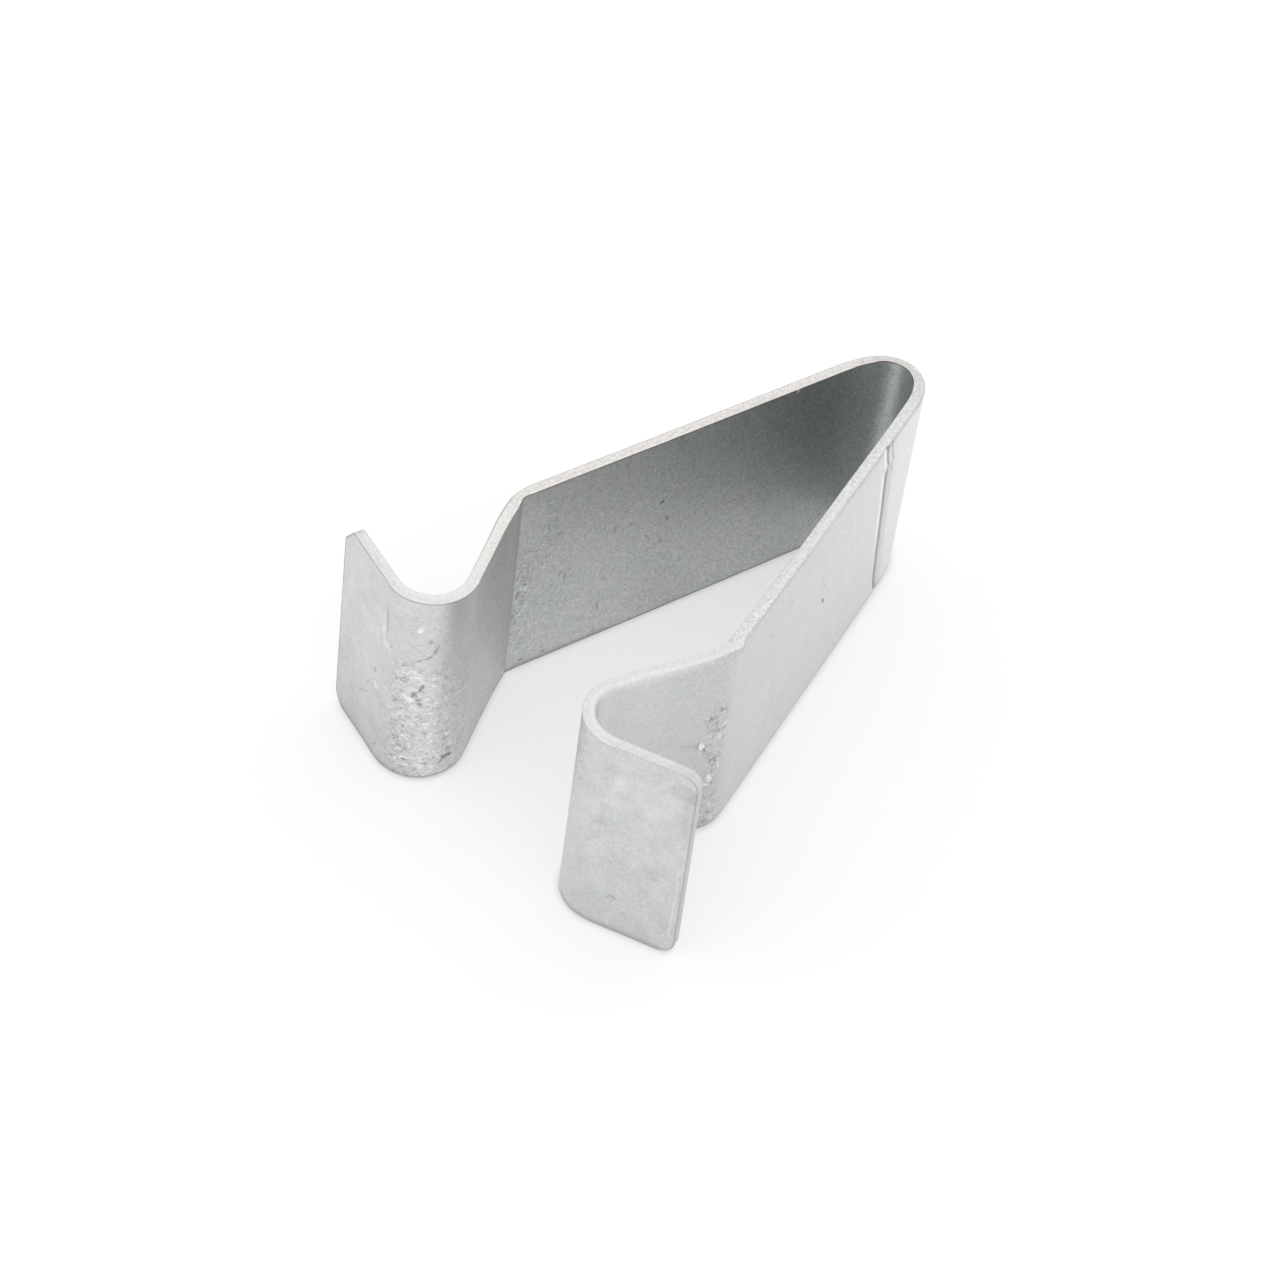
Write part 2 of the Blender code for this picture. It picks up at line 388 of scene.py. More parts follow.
INNER_MARKS = [
    (26.12, 8.46, 0.36, 0.24, 80, -0.018, 1.00),
    (25.73, 7.86, 0.26, 0.12, 88, 0.012, -0.55),
    (27.35, 6.80, 0.60, 0.34, 40, -0.008, 0.35),
    (27.60, 7.40, 0.80, 0.30, 70, -0.006, 0.22),
    (27.15, 6.90, 0.34, 0.16, 60, 0.008, -0.30),
    (25.95, 5.24, 0.50, 0.14, 72, 0.026, -0.75),
    (26.16, 4.80, 0.50, 0.15, 66, 0.018, -0.72),
    (26.36, 4.56, 0.42, 0.22, 150, -0.022, 0.95),
    (26.28, 4.42, 0.34, 0.18, 60, -0.014, 0.80),
    (26.58, 4.82, 0.24, 0.14, 20, 0.010, -0.45),
    (25.97, 4.34, 0.34, 0.18, 100, 0.018, -0.70),
    (26.00, 4.60, 0.24, 0.14, 60, 0.012, -0.55),
    (26.30, 5.12, 0.40, 0.20, 70, -0.008, 0.40),
    (25.30, 5.62, 0.24, 0.14, 10, -0.012, 0.45),
    (26.55, 5.60, 0.30, 0.12, 60, 0.012, -0.40),
    (26.80, 4.15, 0.34, 0.14, 70, 0.012, -0.38),
    (26.45, 6.35, 0.60, 0.09, 40, 0.010, -0.36),
    (25.75, 3.35, 0.30, 0.12, 20, 0.010, -0.34),
    (25.35, 3.30, 0.40, 0.10, 60, -0.010, 0.40),
    (25.00, 2.20, 0.24, 0.14, 30, 0.012, -0.34),
    (28.02, 4.68, 0.36, 0.22, 60, 0.016, -0.42),
    (27.88, 3.90, 0.40, 0.28, 110, -0.014, 0.60),
    (28.50, 3.50, 0.28, 0.16, 60, 0.012, -0.42),
    (28.60, 2.85, 0.40, 0.10, 60, 0.010, -0.34),
    (28.95, 2.60, 0.60, 0.09, 50, 0.010, -0.36),
    (27.60, 0.75, 0.55, 0.10, 55, 0.014, -0.55),
    (26.20, 1.16, 0.62, 0.14, 5, -0.016, 0.65),
    (26.30, 1.02, 0.50, 0.08, 10, 0.012, -0.45),
    (25.62, 1.45, 0.20, 0.12, 20, 0.010, -0.45),
    (24.84, 1.02, 0.54, 0.24, 170, 0.020, -0.95),
    (25.04, 0.86, 0.40, 0.18, 60, 0.020, -0.80),
    (23.30, 3.30, 0.60, 0.07, 130, 0.004, -0.22),
    (18.50, 4.42, 0.46, 0.20, 80, 0.016, -0.75),
    (18.56, 5.40, 0.30, 0.16, 60, 0.012, -0.50),
    (18.32, 4.72, 0.32, 0.18, 100, -0.012, 0.55),
    (18.10, 4.85, 0.30, 0.16, 100, 0.012, -0.55),
    (18.12, 4.62, 0.26, 0.14, 120, -0.012, 0.55),
    (18.68, 3.20, 0.40, 0.18, 80, 0.012, -0.55),
    (18.66, 2.20, 0.34, 0.12, 85, 0.010, -0.35),
    (17.18, 7.60, 0.46, 0.14, 105, 0.010, -0.42),
    (17.32, 7.40, 0.40, 0.12, 100, -0.010, 0.40),
    (17.20, 7.02, 0.36, 0.12, 60, 0.010, -0.36),
    (17.45, 7.80, 0.34, 0.12, 70, 0.010, -0.34),
    (17.30, 5.50, 0.26, 0.18, 60, -0.010, 0.45),
    (17.34, 5.72, 0.24, 0.12, 80, 0.010, -0.40),
    (16.42, 4.70, 0.44, 0.14, 95, 0.010, -0.42),
    (16.18, 4.40, 0.40, 0.14, 100, 0.010, -0.42),
    (16.30, 4.30, 0.26, 0.14, 90, -0.010, 0.35),
    (16.12, 4.15, 0.30, 0.12, 120, 0.010, -0.42),
    (15.78, 3.60, 0.30, 0.14, 0, -0.008, 0.30),
    (11.62, 6.50, 0.24, 0.20, 20, 0.014, -0.95),
    (11.25, 5.42, 0.32, 0.20, 120, 0.012, -0.70),
    (11.45, 4.25, 0.40, 0.24, 80, 0.010, -0.45),
    (12.15, 4.75, 0.44, 0.16, 140, 0.008, -0.40),
    (13.88, 6.00, 0.54, 0.16, 95, 0.010, -0.48),
    (13.05, 5.90, 0.34, 0.18, 140, 0.010, -0.50),
    (13.40, 6.75, 0.44, 0.12, 150, 0.008, -0.30),
    (14.32, 1.78, 0.56, 0.14, 98, 0.010, -0.60),
    (14.15, 3.25, 0.34, 0.20, 90, 0.008, -0.32),
    (12.10, 0.55, 0.30, 0.16, 70, 0.010, -0.40),
    (17.95, 0.36, 0.26, 0.18, 20, 0.014, -0.85),
    (16.85, 0.34, 0.22, 0.16, 20, 0.010, -0.70),
    (10.50, 2.90, 0.34, 0.18, 90, -0.008, 0.30),
    (5.90, 4.25, 0.20, 0.12, 60, 0.006, -0.16),
    (5.40, 3.25, 0.30, 0.09, 80, 0.006, -0.22),
    (6.70, 7.82, 0.34, 0.09, 85, -0.008, 0.42),
    (7.42, 8.60, 0.30, 0.10, 150, 0.008, -0.26),
    (5.28, 9.90, 0.24, 0.22, 40, -0.010, 1.00),
    (4.60, 7.40, 0.30, 0.08, 60, 0.005, -0.18),
    (11.42, 6.46, 0.18, 0.12, 30, -0.006, 0.35),
    (-27.55, 5.80, 1.10, 0.70, 10, 0.003, -0.12),
    (-27.50, 5.75, 0.55, 0.30, 20, 0.003, -0.10),
    (-27.65, 6.60, 0.90, 0.70, 70, 0.002, -0.08),
    (-28.02, 8.15, 1.10, 0.66, 80, -0.003, 0.20),
    (-28.02, 8.20, 0.50, 0.26, 80, -0.003, 0.22),
    (-27.70, 7.00, 0.90, 0.46, 20, -0.003, 0.18),
    (-27.60, 8.75, 0.70, 0.50, 80, 0.002, -0.12),
    (-29.70, 4.10, 1.30, 0.90, 10, 0.002, -0.10),
    (-29.50, 7.90, 2.20, 1.70, 80, -0.002, 0.15),
    (-28.80, 6.45, 0.26, 0.09, 150, 0.004, -0.22),
    (-28.50, 5.60, 0.24, 0.10, 150, 0.004, -0.18),
    (-28.35, 1.84, 0.42, 0.32, 0, 0.005, -0.36),
    (-28.35, 1.78, 0.27, 0.18, 0, -0.003, 0.36),
    (17.95, 8.10, 2.00, 2.40, 0, 0.0, 0.14),
    (19.90, 2.90, 1.80, 6.00, 0, 0.0, -0.11),
    # the next two darken the right lip towards its upper end corner: painted shade
    (-30.55, 9.05, 1.30, 0.90, 0, 0.0, -0.20),
    (-30.90, 7.90, 0.80, 2.60, 0, 0.0, -0.16),
]


OVERLAP = 1.5                 # how much longer than its step each mark of a scratch is


def scratch(places, width, depth, brightness):
    """A scratch as a chain of marks through places, each from nose and height."""
    chain = []
    for (start, start_up), (end, end_up) in zip(places, places[1:]):
        reach = math.hypot(end - start, end_up - start_up)
        slant = math.degrees(math.atan2(end_up - start_up, start - end))
        chain.append(((start + end) / 2, (start_up + end_up) / 2, OVERLAP * reach + width, width,
                      slant, depth, brightness))
    return chain


INNER_MARKS += scratch([(25.46, 7.66), (25.58, 7.28), (25.74, 6.98), (26.08, 6.76)],
                       0.13, 0.008, -0.34)
INNER_MARKS += scratch([(26.08, 6.76), (26.46, 6.50)], 0.12, 0.004, -0.15)
INNER_MARKS += scratch([(-30.78, 4.60), (-30.80, 2.50), (-30.74, 0.90)], 0.09, 0.0, 0.30)
INNER_MARKS += scratch([(27.48, 8.75), (27.40, 8.25), (27.36, 7.50)], 0.18, 0.008, -0.28)
INNER_MARKS += scratch([(27.66, 8.00), (27.60, 7.40), (27.50, 6.90)], 0.18, -0.006, 0.26)
OUTER_MARKS += scratch([(-19.24, 4.25), (-19.56, 4.75), (-19.92, 5.14), (-20.40, 5.32)],
                       0.30, 0.006, -0.17)
print("marks:", len(OUTER_MARKS), "on the outer face,", len(INNER_MARKS), "on the inner face")

# %% [markdown]
# Dents and chips.
# Each mark lowers or lifts the face by its depth inside a soft ellipse. The depths are three
# hundredths of a millimetre at most, enough to catch the light at the viewing distance.

# %% Press the marks into the mesh
FACE_FROM = 0.8 * SHEET / 2   # points further than this from mid-sheet belong to a face
SOFT_BORDER = 1.25            # how far past its ellipse a dent still reaches
on_outer = off > FACE_FROM
on_inner = off < -FACE_FROM


def inside_mark(mark):
    """1 at the middle of a mark, falling softly to 0 at its border, for every point."""
    from_nose, height, length, width, slant = mark[:5]
    right = from_nose - along / MM
    above = up / MM - height
    lean = math.radians(slant)
    lengthways = (right * math.cos(lean) + above * math.sin(lean)) / (length / 2)
    sideways = (above * math.cos(lean) - right * math.sin(lean)) / (width / 2)
    return smooth_step(1 - np.sqrt(lengthways ** 2 + sideways ** 2) / SOFT_BORDER)


for marks, face, outwards in ((OUTER_MARKS, on_outer, 1.0), (INNER_MARKS, on_inner, -1.0)):
    for mark in marks:
        flat[:, 1] -= outwards * mark[5] * MM * inside_mark(mark) * face
print("deepest mark, in mm:", max(mark[5] for mark in OUTER_MARKS + INNER_MARKS))

# %% [markdown]
# The line pressed across one arm.
# The folding tool's edge left a line across the outer face of the arm that faces the viewer. It
# leans, with a kink near its top and a curve at its bottom. Each point of the mesh gets its
# distance from that line, which shapes the groove here and colours it later.

# %% The pressed line
LINE_HEIGHTS = [0.0, 0.5, 1.0, 1.5, 2.0, 3.0, 4.0, 5.0, 6.0, 7.0, 8.0, 8.35, 8.6, 9.0, 9.5, 10.0]
LINE_FROM_NOSE = [3.41, 3.71, 3.87, 3.99, 4.07, 4.24, 4.38, 4.54, 4.67, 4.86, 5.01, 5.06, 4.88,
                  5.07, 5.26, 5.40]
LINE_DEPTH = 0.040 * MM
LINE_SOFT_SIDE = 0.34         # this and the next three in mm from the line
LINE_CRISP_SIDE = 0.07
RIDGE_PLACE = 0.13
RIDGE_WIDTH = 0.05
RIDGE_HEIGHT = 0.012 * MM
line_place = -np.interp(up / MM, LINE_HEIGHTS, LINE_FROM_NOSE)
from_line = along / MM - line_place
groove = np.where(from_line > 0, smooth_step(1 - from_line / LINE_SOFT_SIDE),
                  smooth_step(1 + from_line / LINE_CRISP_SIDE))
flat[:, 1] -= LINE_DEPTH * groove * on_outer
ridge = np.exp(-((from_line + RIDGE_PLACE) / RIDGE_WIDTH) ** 2)
flat[:, 1] += RIDGE_HEIGHT * ridge * on_outer
print("points in the pressed line:", int((groove * on_outer > 0.1).sum()))

# %% [markdown]
# Rough places and ragged edges.
# The necks and elbows rubbed on the tool, which galled the zinc there. Noise lifts and sinks the
# surface by a hundredth of a millimetre in those places only. A slower noise makes the long cut
# edges wander a little, as a shear leaves them.

# %% Zones that rubbed on the tool
def zone(middle, reach, height, height_reach, softness):
    """1 inside a patch of the strip, fading to 0 at its border. Sizes in millimetres."""
    sideways = smooth_step((1 - np.abs(along / MM - middle) / reach) / softness)
    upright = smooth_step((1 - np.abs(up / MM - height) / height_reach) / softness)
    return sideways * upright


# middle along the strip, reach, height, reach up and down, softness, amount
INNER_PATCHES = [
    (25.80, 1.65, 1.4, 3.4, 0.5, 1.00), (25.95, 1.30, 4.6, 2.4, 0.5, 1.00),
    (25.90, 1.40, 7.8, 2.6, 0.6, 0.30), (24.50, 1.00, 3.4, 4.2, 0.6, 0.60),
    (18.20, 0.70, 5.0, 5.2, 0.6, 0.60), (18.30, 0.50, 4.1, 2.4, 0.6, 1.00),
    (17.30, 1.00, 7.4, 2.4, 0.6, 0.45), (16.90, 1.80, 3.6, 3.0, 0.6, 0.35),
    (-25.60, 1.50, 8.2, 2.5, 0.6, 0.60),
]
OUTER_PATCHES = [
    (-19.15, 0.62, 5.9, 1.7, 0.5, 1.00), (-19.05, 0.42, 3.2, 3.6, 0.5, 0.80),
    (-18.80, 0.60, 0.4, 1.2, 0.6, 0.70), (-4.35, 0.50, 7.2, 1.6, 0.6, 0.40),
    (19.00, 0.50, 5.0, 5.2, 0.5, 0.50),
]
galled = np.zeros(len(flat))
for patches, face in ((INNER_PATCHES, on_inner), (OUTER_PATCHES, on_outer)):
    for *patch, amount in patches:
        galled = np.maximum(galled, amount * zone(*patch) * face)
print(f"share of the points in rough places: {(galled > 0.05).mean():.2f}")

# %% [markdown]
# Roughness in the mesh.
# The noise is read in the flat strip's own place, scaled so that one lump is a sixth of a
# millimetre on the faces and about a millimetre along the edges.

# %% Roughen the surface and the cut edge
GALL_HEIGHT = 0.012 * MM
EDGE_WANDER = 0.010 * MM
GALL_SCALE = 1 / (0.16 * MM)
WANDER_SCALE = 1 / (0.9 * MM)
WANDER_REACH = 0.3 * MM       # how far in from the edge the wandering fades
LEAST_GALLED = 0.02
FACES_APART = 4               # these keep the noise of one face or edge unlike the other's
EDGES_APART = 7 * MM
TORN_SHARE = 0.8              # the torn band's own finer noise, and how much finer it is
TORN_ALONG = 9
TORN_THROUGH = 3
rough_points = np.nonzero(galled > LEAST_GALLED)[0]
for index in rough_points:
    place = Vector((along[index], off[index] * FACES_APART, up[index])) * GALL_SCALE
    lift = noise.noise(place) * galled[index] * GALL_HEIGHT
    flat[index, 1] += lift if off[index] > 0 else -lift
edge_points = np.nonzero(half_height > STRIP_WIDTH / 2 - WANDER_REACH)[0]
for index in edge_points:
    edge = round(up[index] / STRIP_WIDTH)
    place = Vector((along[index], 0.0, edge * EDGES_APART)) * WANDER_SCALE
    torn_place = Vector((along[index] * TORN_ALONG, off[index] * TORN_THROUGH, 0.0)) * WANDER_SCALE
    torn = noise.noise(torn_place) * max(0.0, -off[index] / SHEET) * TORN_SHARE
    closeness = 1 - (STRIP_WIDTH / 2 - half_height[index]) / WANDER_REACH
    flat[index, 2] += EDGE_WANDER * (noise.noise(place) + torn) * closeness
print("points roughened:", len(rough_points), "on the faces,", len(edge_points), "by the edges")

# %% [markdown]
# What the folding left crooked.
# A hand held gauge would find that no real clip matches its drawing. This one's arms bow a
# little, the right half leans out at its foot, and its ends are a touch longer than drawn, the
# left one at its top and the right one at its foot. Each line below gives a distance from the
# nose and how far the top and the bottom edge stand outwards there, all in millimetres. The steps
# between the lines are smoothed, so that no fold line shows on a flat face.

# %% Springback
LEFT_DRIFT = [
    (0.0, 0.12, 0.05), (0.5, 0.09, 0.05), (1.0, 0.03, 0.02), (1.8, -0.04, 0.0),
    (3.0, 0.012, 0.0), (12.0, 0.012, -0.05), (18.0, 0.05, -0.05), (19.2, -0.03, -0.02),
    (20.0, 0.05, 0.02), (22.0, 0.0, 0.02), (24.0, 0.0, 0.0), (25.0, -0.02, -0.07),
    (26.0, -0.05, -0.19), (27.0, -0.06, -0.18), (28.0, -0.04, -0.13), (31.0, 0.02, -0.07),
]
RIGHT_DRIFT = [
    (0.0, 0.12, 0.05), (0.5, 0.13, 0.05), (1.0, 0.09, 0.05), (2.0, 0.06, 0.05),
    (5.0, 0.06, 0.08), (8.0, 0.01, 0.08), (12.0, -0.03, 0.07), (15.0, -0.08, 0.07),
    (17.0, -0.12, 0.07), (18.8, -0.20, 0.06), (20.0, -0.04, 0.0), (22.0, -0.04, -0.02),
    (24.0, -0.04, -0.03), (25.0, -0.06, -0.05), (26.0, -0.04, -0.14), (27.0, 0.0, -0.19),
    (28.0, 0.04, -0.19), (31.0, -0.03, -0.21),
]
LEFT_TOP_LONGER = 0.09 * MM
RIGHT_END_LONGER = 0.05 * MM
RIGHT_FOOT_LONGER = 0.09 * MM
LONGER_FROM = 28.0            # the ends grow longer from here to the list's last place, in mm
LONGER_TO = 31.0
SMOOTH_OVER = 0.8
RULER_END = 34.0
RULER_STEP = 0.02


def smoothed_drift(column):
    """Drift of one edge at every point, from both halves' lists."""
    line = [(-distance, row[column - 1]) for distance, *row in RIGHT_DRIFT[::-1]]
    line += [(distance, row[column - 1]) for distance, *row in LEFT_DRIFT[1:]]
    places, values = np.array(line).T
    ruler = np.arange(-RULER_END, RULER_END, RULER_STEP)
    window = np.hanning(round(2 * SMOOTH_OVER / RULER_STEP))
    eased = np.convolve(np.interp(ruler, places, values), window / window.sum(), "same")
    return np.interp(along / MM, ruler, eased)


top_share = up / STRIP_WIDTH
flat[:, 1] += MM * (smoothed_drift(1) * top_share + smoothed_drift(2) * (1 - top_share))
end_share = np.clip((np.abs(along) / MM - LONGER_FROM) / (LONGER_TO - LONGER_FROM), 0.0, 1.0)
flat[:, 0] += np.where(along > 0, LEFT_TOP_LONGER * top_share,
                       -RIGHT_END_LONGER - RIGHT_FOOT_LONGER * (1 - top_share)) * end_share
print("largest drift, in mm:", max(abs(value) for row in LEFT_DRIFT + RIGHT_DRIFT
                                   for value in row[1:]))

# %% [markdown]
# From numbers to a mesh.
# The blank becomes a mesh once, with its place on the flat strip stored on each point. The
# materials read that place later, so a mark stays where it is on the steel however it is folded.

# %% The blank as an object
through = (SHEET / 2 - off) / SHEET
beyond = np.stack([np.abs(along) - (HALF_LENGTH - END_CORNER),
                   half_height - (STRIP_WIDTH / 2 - END_CORNER)])
from_outline = -(np.minimum(beyond.max(0), 0.0) + np.linalg.norm(np.maximum(beyond, 0.0), axis=0)
                 - END_CORNER)
from_clip = ((CLIPPED_DOWN * (HALF_LENGTH - CLIPPED_ALONG - along)
              + CLIPPED_ALONG * (STRIP_WIDTH - up)) / math.hypot(CLIPPED_ALONG, CLIPPED_DOWN))
clipped_corner = (along > 0) & (up > STRIP_WIDTH / 2)
from_outline = np.where(clipped_corner,
                        np.minimum(from_clip, np.minimum(HALF_LENGTH - along, STRIP_WIDTH - up)),
                        from_outline)

blank_mesh = bpy.data.meshes.new("flat_blank")
blank_mesh.from_pydata(flat.tolist(), [], faces.tolist())
for name, values in (("through_sheet", through),
                     ("from_line_mm", from_line), ("from_rim_mm", from_outline / MM),
                     ("galled", galled)):
    attribute = blank_mesh.attributes.new(name, "FLOAT", "POINT")
    attribute.data.foreach_set("value", values.astype(np.float32))
place = blank_mesh.attributes.new("strip_mm", "FLOAT_VECTOR", "POINT")
strip_mm = np.stack([along, off, up], -1) / MM
place.data.foreach_set("vector", strip_mm.astype(np.float32).ravel())
blank = bpy.data.objects.new(CLIP + "_dressed", blank_mesh)
bpy.context.scene.collection.objects.link(blank)
print("triangles:", 2 * len(blank_mesh.polygons))

# %% [markdown]
# Small helpers for node trees.
# The same helpers build the folding tree and the materials: one adds a node, one feeds a socket
# from a link or a plain value, one feeds several, two add a Math or a Vector Math node in a single
# call, one reads a noise, and one starts an empty tree with named sockets.

# %% Helpers for trees
def add(tree, kind, **settings):
    """A new node with its settings made."""
    made = tree.nodes.new(kind)
    for name, value in settings.items():
        setattr(made, name, value)
    return made


def feed(tree, socket, source):
    """Link a socket, or set its own value."""
    if isinstance(source, bpy.types.NodeSocket):
        tree.links.new(source, socket)
    else:
        socket.default_value = source


def feed_each(tree, node, **sources):
    """Feed several sockets by name, an underscore standing for each space. Gives the node."""
    for name, source in sources.items():
        feed(tree, node.inputs[name.replace("_", " ")], source)
    return node


def maths(tree, operation, *sources, clamp=False):
    """Output of a Math node."""
    made = add(tree, "ShaderNodeMath", operation=operation, use_clamp=clamp)
    for socket, source in zip(made.inputs, sources):
        feed(tree, socket, source)
    return made.outputs[0]


def vector_maths(tree, operation, *sources):
    """Output of a Vector Math node: a number for a dot product, otherwise a vector."""
    made = add(tree, "ShaderNodeVectorMath", operation=operation)
    for socket, source in zip(made.inputs, sources):
        feed(tree, socket, source)
    return made.outputs["Value" if operation == "DOT_PRODUCT" else "Vector"]


def noise_texture(tree, place, scale, detail, roughness=0.5, distortion=0.0):
    """A noise read at a place."""
    return feed_each(tree, add(tree, "ShaderNodeTexNoise", noise_dimensions="3D"), Vector=place,
                     Scale=scale, Detail=detail, Roughness=roughness, Distortion=distortion)


def new_tree(name, kind, inputs, outputs):
    """An empty tree with named sockets, and its input and output nodes."""
    tree = bpy.data.node_groups.new(name, kind)
    for direction, sockets in (("INPUT", inputs), ("OUTPUT", outputs)):
        for label, socket_kind in sockets:
            tree.interface.new_socket(label, in_out=direction,
                                      socket_type="NodeSocket" + socket_kind)
    return tree, add(tree, "NodeGroupInput"), add(tree, "NodeGroupOutput")


print("helpers ready:", *(helper.__name__ for helper in (
    add, feed, feed_each, maths, vector_maths, noise_texture, new_tree)))


# %% [markdown]
# Folding by rule.
# The clip could be bent with a curve modifier or modelled by hand, but its shape follows a rule:
# walk along the strip, and at each run turn by so much over such a length. So one small group
# walks one run, and the main tree uses it seven times in a row. Inside a bend the walk is a chord
# of the arc: its length is the step times sin(p)/p, where p is half the angle swept.

# %% One run of the strip as a node group
WALK = ("Left", "X", "Y", "Heading")
LEAST_ANGLE = 1e-4            # keeps sin(p)/p from a division by zero on flat runs
walk_run, given, result = new_tree(
    "walk_one_run", "GeometryNodeTree",
    [(label, "Float") for label in WALK + ("Length", "Turn")],
    [(label, "Float") for label in WALK])
walk = partial(maths, walk_run)
left, x, y, heading, length, turn = (given.outputs[label] for label in WALK + ("Length", "Turn"))
step = walk("MINIMUM", left, length)
swept = walk("DIVIDE", walk("MULTIPLY", turn, step), length)
half_swept = walk("MULTIPLY", swept, 0.5)
safe_half = walk("MAXIMUM", walk("ABSOLUTE", half_swept), LEAST_ANGLE)
chord = walk("MULTIPLY", step, walk("DIVIDE", walk("SINE", safe_half), safe_half))
chord_heading = walk("ADD", heading, half_swept)
feed_each(walk_run, result, Left=walk("SUBTRACT", left, step),
          X=walk("MULTIPLY_ADD", chord, walk("COSINE", chord_heading), x),
          Y=walk("MULTIPLY_ADD", chord, walk("SINE", chord_heading), y),
          Heading=walk("ADD", heading, swept))
print("nodes that walk one run:", len(walk_run.nodes))

# %% [markdown]
# Seven runs in a row.
# The main tree takes the lengths and turns as named inputs. It walks along mid-sheet, steps out
# sideways by the point's distance from mid-sheet, mirrors the right half and sets the new
# position. It ends by making the instances real and giving the steel its coat.

# %% The whole fold
size_inputs = [(f"{name} {what}", "Float") for name in RUNS for what in ("length", "turn")]
fold, given, result = new_tree(
    "fold_strip", "GeometryNodeTree",
    [("Geometry", "Geometry"), *size_inputs, ("Nose tip", "Float"), ("Coat", "Material")],
    [("Geometry", "Geometry")])
place_parts = add(fold, "ShaderNodeSeparateXYZ")
feed(fold, place_parts.inputs[0], add(fold, "GeometryNodeInputPosition").outputs[0])
flat_x, flat_y, flat_z = place_parts.outputs
in_fold = partial(maths, fold)
walked = {"Left": in_fold("ABSOLUTE", flat_x), "X": 0.0, "Y": 0.0, "Heading": math.pi / 2}
for name in RUNS:
    run = add(fold, "GeometryNodeGroup", node_tree=walk_run, label=name)
    feed_each(fold, run, **walked, Length=given.outputs[f"{name} length"],
              Turn=given.outputs[f"{name} turn"])
    walked = {label: run.outputs[label] for label in WALK}
outward_x = in_fold("MULTIPLY", flat_y, in_fold("SINE", walked["Heading"]))
outward_y = in_fold("MULTIPLY", flat_y, in_fold("COSINE", walked["Heading"]))
half_y = in_fold("SUBTRACT", walked["Y"], outward_y)
folded = feed_each(
    fold, add(fold, "ShaderNodeCombineXYZ"), Z=flat_z,
    X=in_fold("ADD", in_fold("ADD", walked["X"], outward_x), given.outputs["Nose tip"]),
    Y=in_fold("MULTIPLY", in_fold("SIGN", flat_x), half_y))
move = feed_each(fold, add(fold, "GeometryNodeSetPosition"), Geometry=given.outputs["Geometry"],
                 Position=folded.outputs[0])
realize = feed_each(fold, add(fold, "GeometryNodeRealizeInstances"), Geometry=move.outputs[0])
coat_it = feed_each(fold, add(fold, "GeometryNodeSetMaterial"), Geometry=realize.outputs[0],
                    Material=given.outputs["Coat"])
feed_each(fold, result, Geometry=coat_it.outputs[0])
print("nodes in the folding tree:", len(fold.nodes))

# %% [markdown]
# The finish: effects as shader groups.
# Zinc from a hot bath or a plating line is neither mirror nor paint. Close up it has a fine grain
# of about a tenth of a millimetre, a coarser one of a quarter, and soft clouds of a millimetre.
# One group gives such a grain at any scale, so the faces and the cut edge share it.

# %% Grain of the zinc
OBJECT_TO_MM = 1000.0
NOISE_SPREAD = 2.4            # stretches a noise from around 0.5 to about -1 to 1
grain_group, given, result = new_tree(
    "zinc_grain", "ShaderNodeTree",
    [("Place", "Vector"), ("Scale", "Float"), ("Detail", "Float")], [("Grain", "Float")])
fine = noise_texture(grain_group, given.outputs["Place"], given.outputs["Scale"],
                     given.outputs["Detail"], roughness=0.6)
centred = maths(grain_group, "MULTIPLY_ADD", fine.outputs[0], NOISE_SPREAD, -NOISE_SPREAD / 2)
feed_each(grain_group, result, Grain=centred)
print("nodes of the grain:", len(grain_group.nodes))

# %% [markdown]
# A mark as a group.
# A mark is an ellipse on the flat strip. Two dot products give how far a place is from its
# middle, lengthways and sideways, and a soft step turns the sum of their squares into a mask.

# %% One mark of the strip
MARK_ENDS = 0.34              # squared distances from the middle, in lengths and widths of a mark
MARK_IS_FULL = 0.07
mark_group, given, result = new_tree(
    "strip_mark", "ShaderNodeTree",
    [("Strip place", "Vector"), ("Middle", "Vector"), ("Lengthways", "Vector"),
     ("Sideways", "Vector")], [("Mask", "Float")])
from_middle = vector_maths(mark_group, "SUBTRACT", given.outputs["Strip place"],
                           given.outputs["Middle"])
squared = 0.0
for direction in ("Lengthways", "Sideways"):
    share = vector_maths(mark_group, "DOT_PRODUCT", from_middle, given.outputs[direction])
    squared = maths(mark_group, "MULTIPLY_ADD", share, share, squared)
border = feed_each(mark_group,
                   add(mark_group, "ShaderNodeMapRange", interpolation_type="SMOOTHSTEP"),
                   Value=squared, From_Min=MARK_ENDS, From_Max=MARK_IS_FULL)
feed_each(mark_group, result, Mask=border.outputs[0])
print("nodes that draw one mark:", len(mark_group.nodes))

# %% [markdown]
# The coat itself.
# One material covers the whole clip. Its colour starts from the zinc's grey, is moved a little by
# the clouds and the grain, lightened on the cut edge and where the coat was rubbed, given painted
# shade and painted light along the faces, the rims, the feet and the pressed line, and darkened or
# brightened at the marks. The same masks move the roughness, and the grain also feeds a bump.

# %% The coat's material
ZINC = (0.690, 0.699, 0.693, 1.0)
coat = bpy.data.materials.new("zinc_coat")
coat.use_nodes = True
tree = coat.node_tree
shader = tree.nodes["Principled BSDF"]
object_place = add(tree, "ShaderNodeTexCoord").outputs["Object"]
place_mm = feed_each(tree, add(tree, "ShaderNodeMapping"), Vector=object_place,
                     Scale=(OBJECT_TO_MM,) * 3).outputs[0]


def stored(name, output):
    """Output of a named attribute."""
    return add(tree, "ShaderNodeAttribute", attribute_name=name).outputs[output]


def grain(scale, detail):
    """The grain group at one scale, in features per millimetre."""
    return feed_each(tree, add(tree, "ShaderNodeGroup", node_tree=grain_group), Place=place_mm,
                     Scale=scale, Detail=detail).outputs[0]


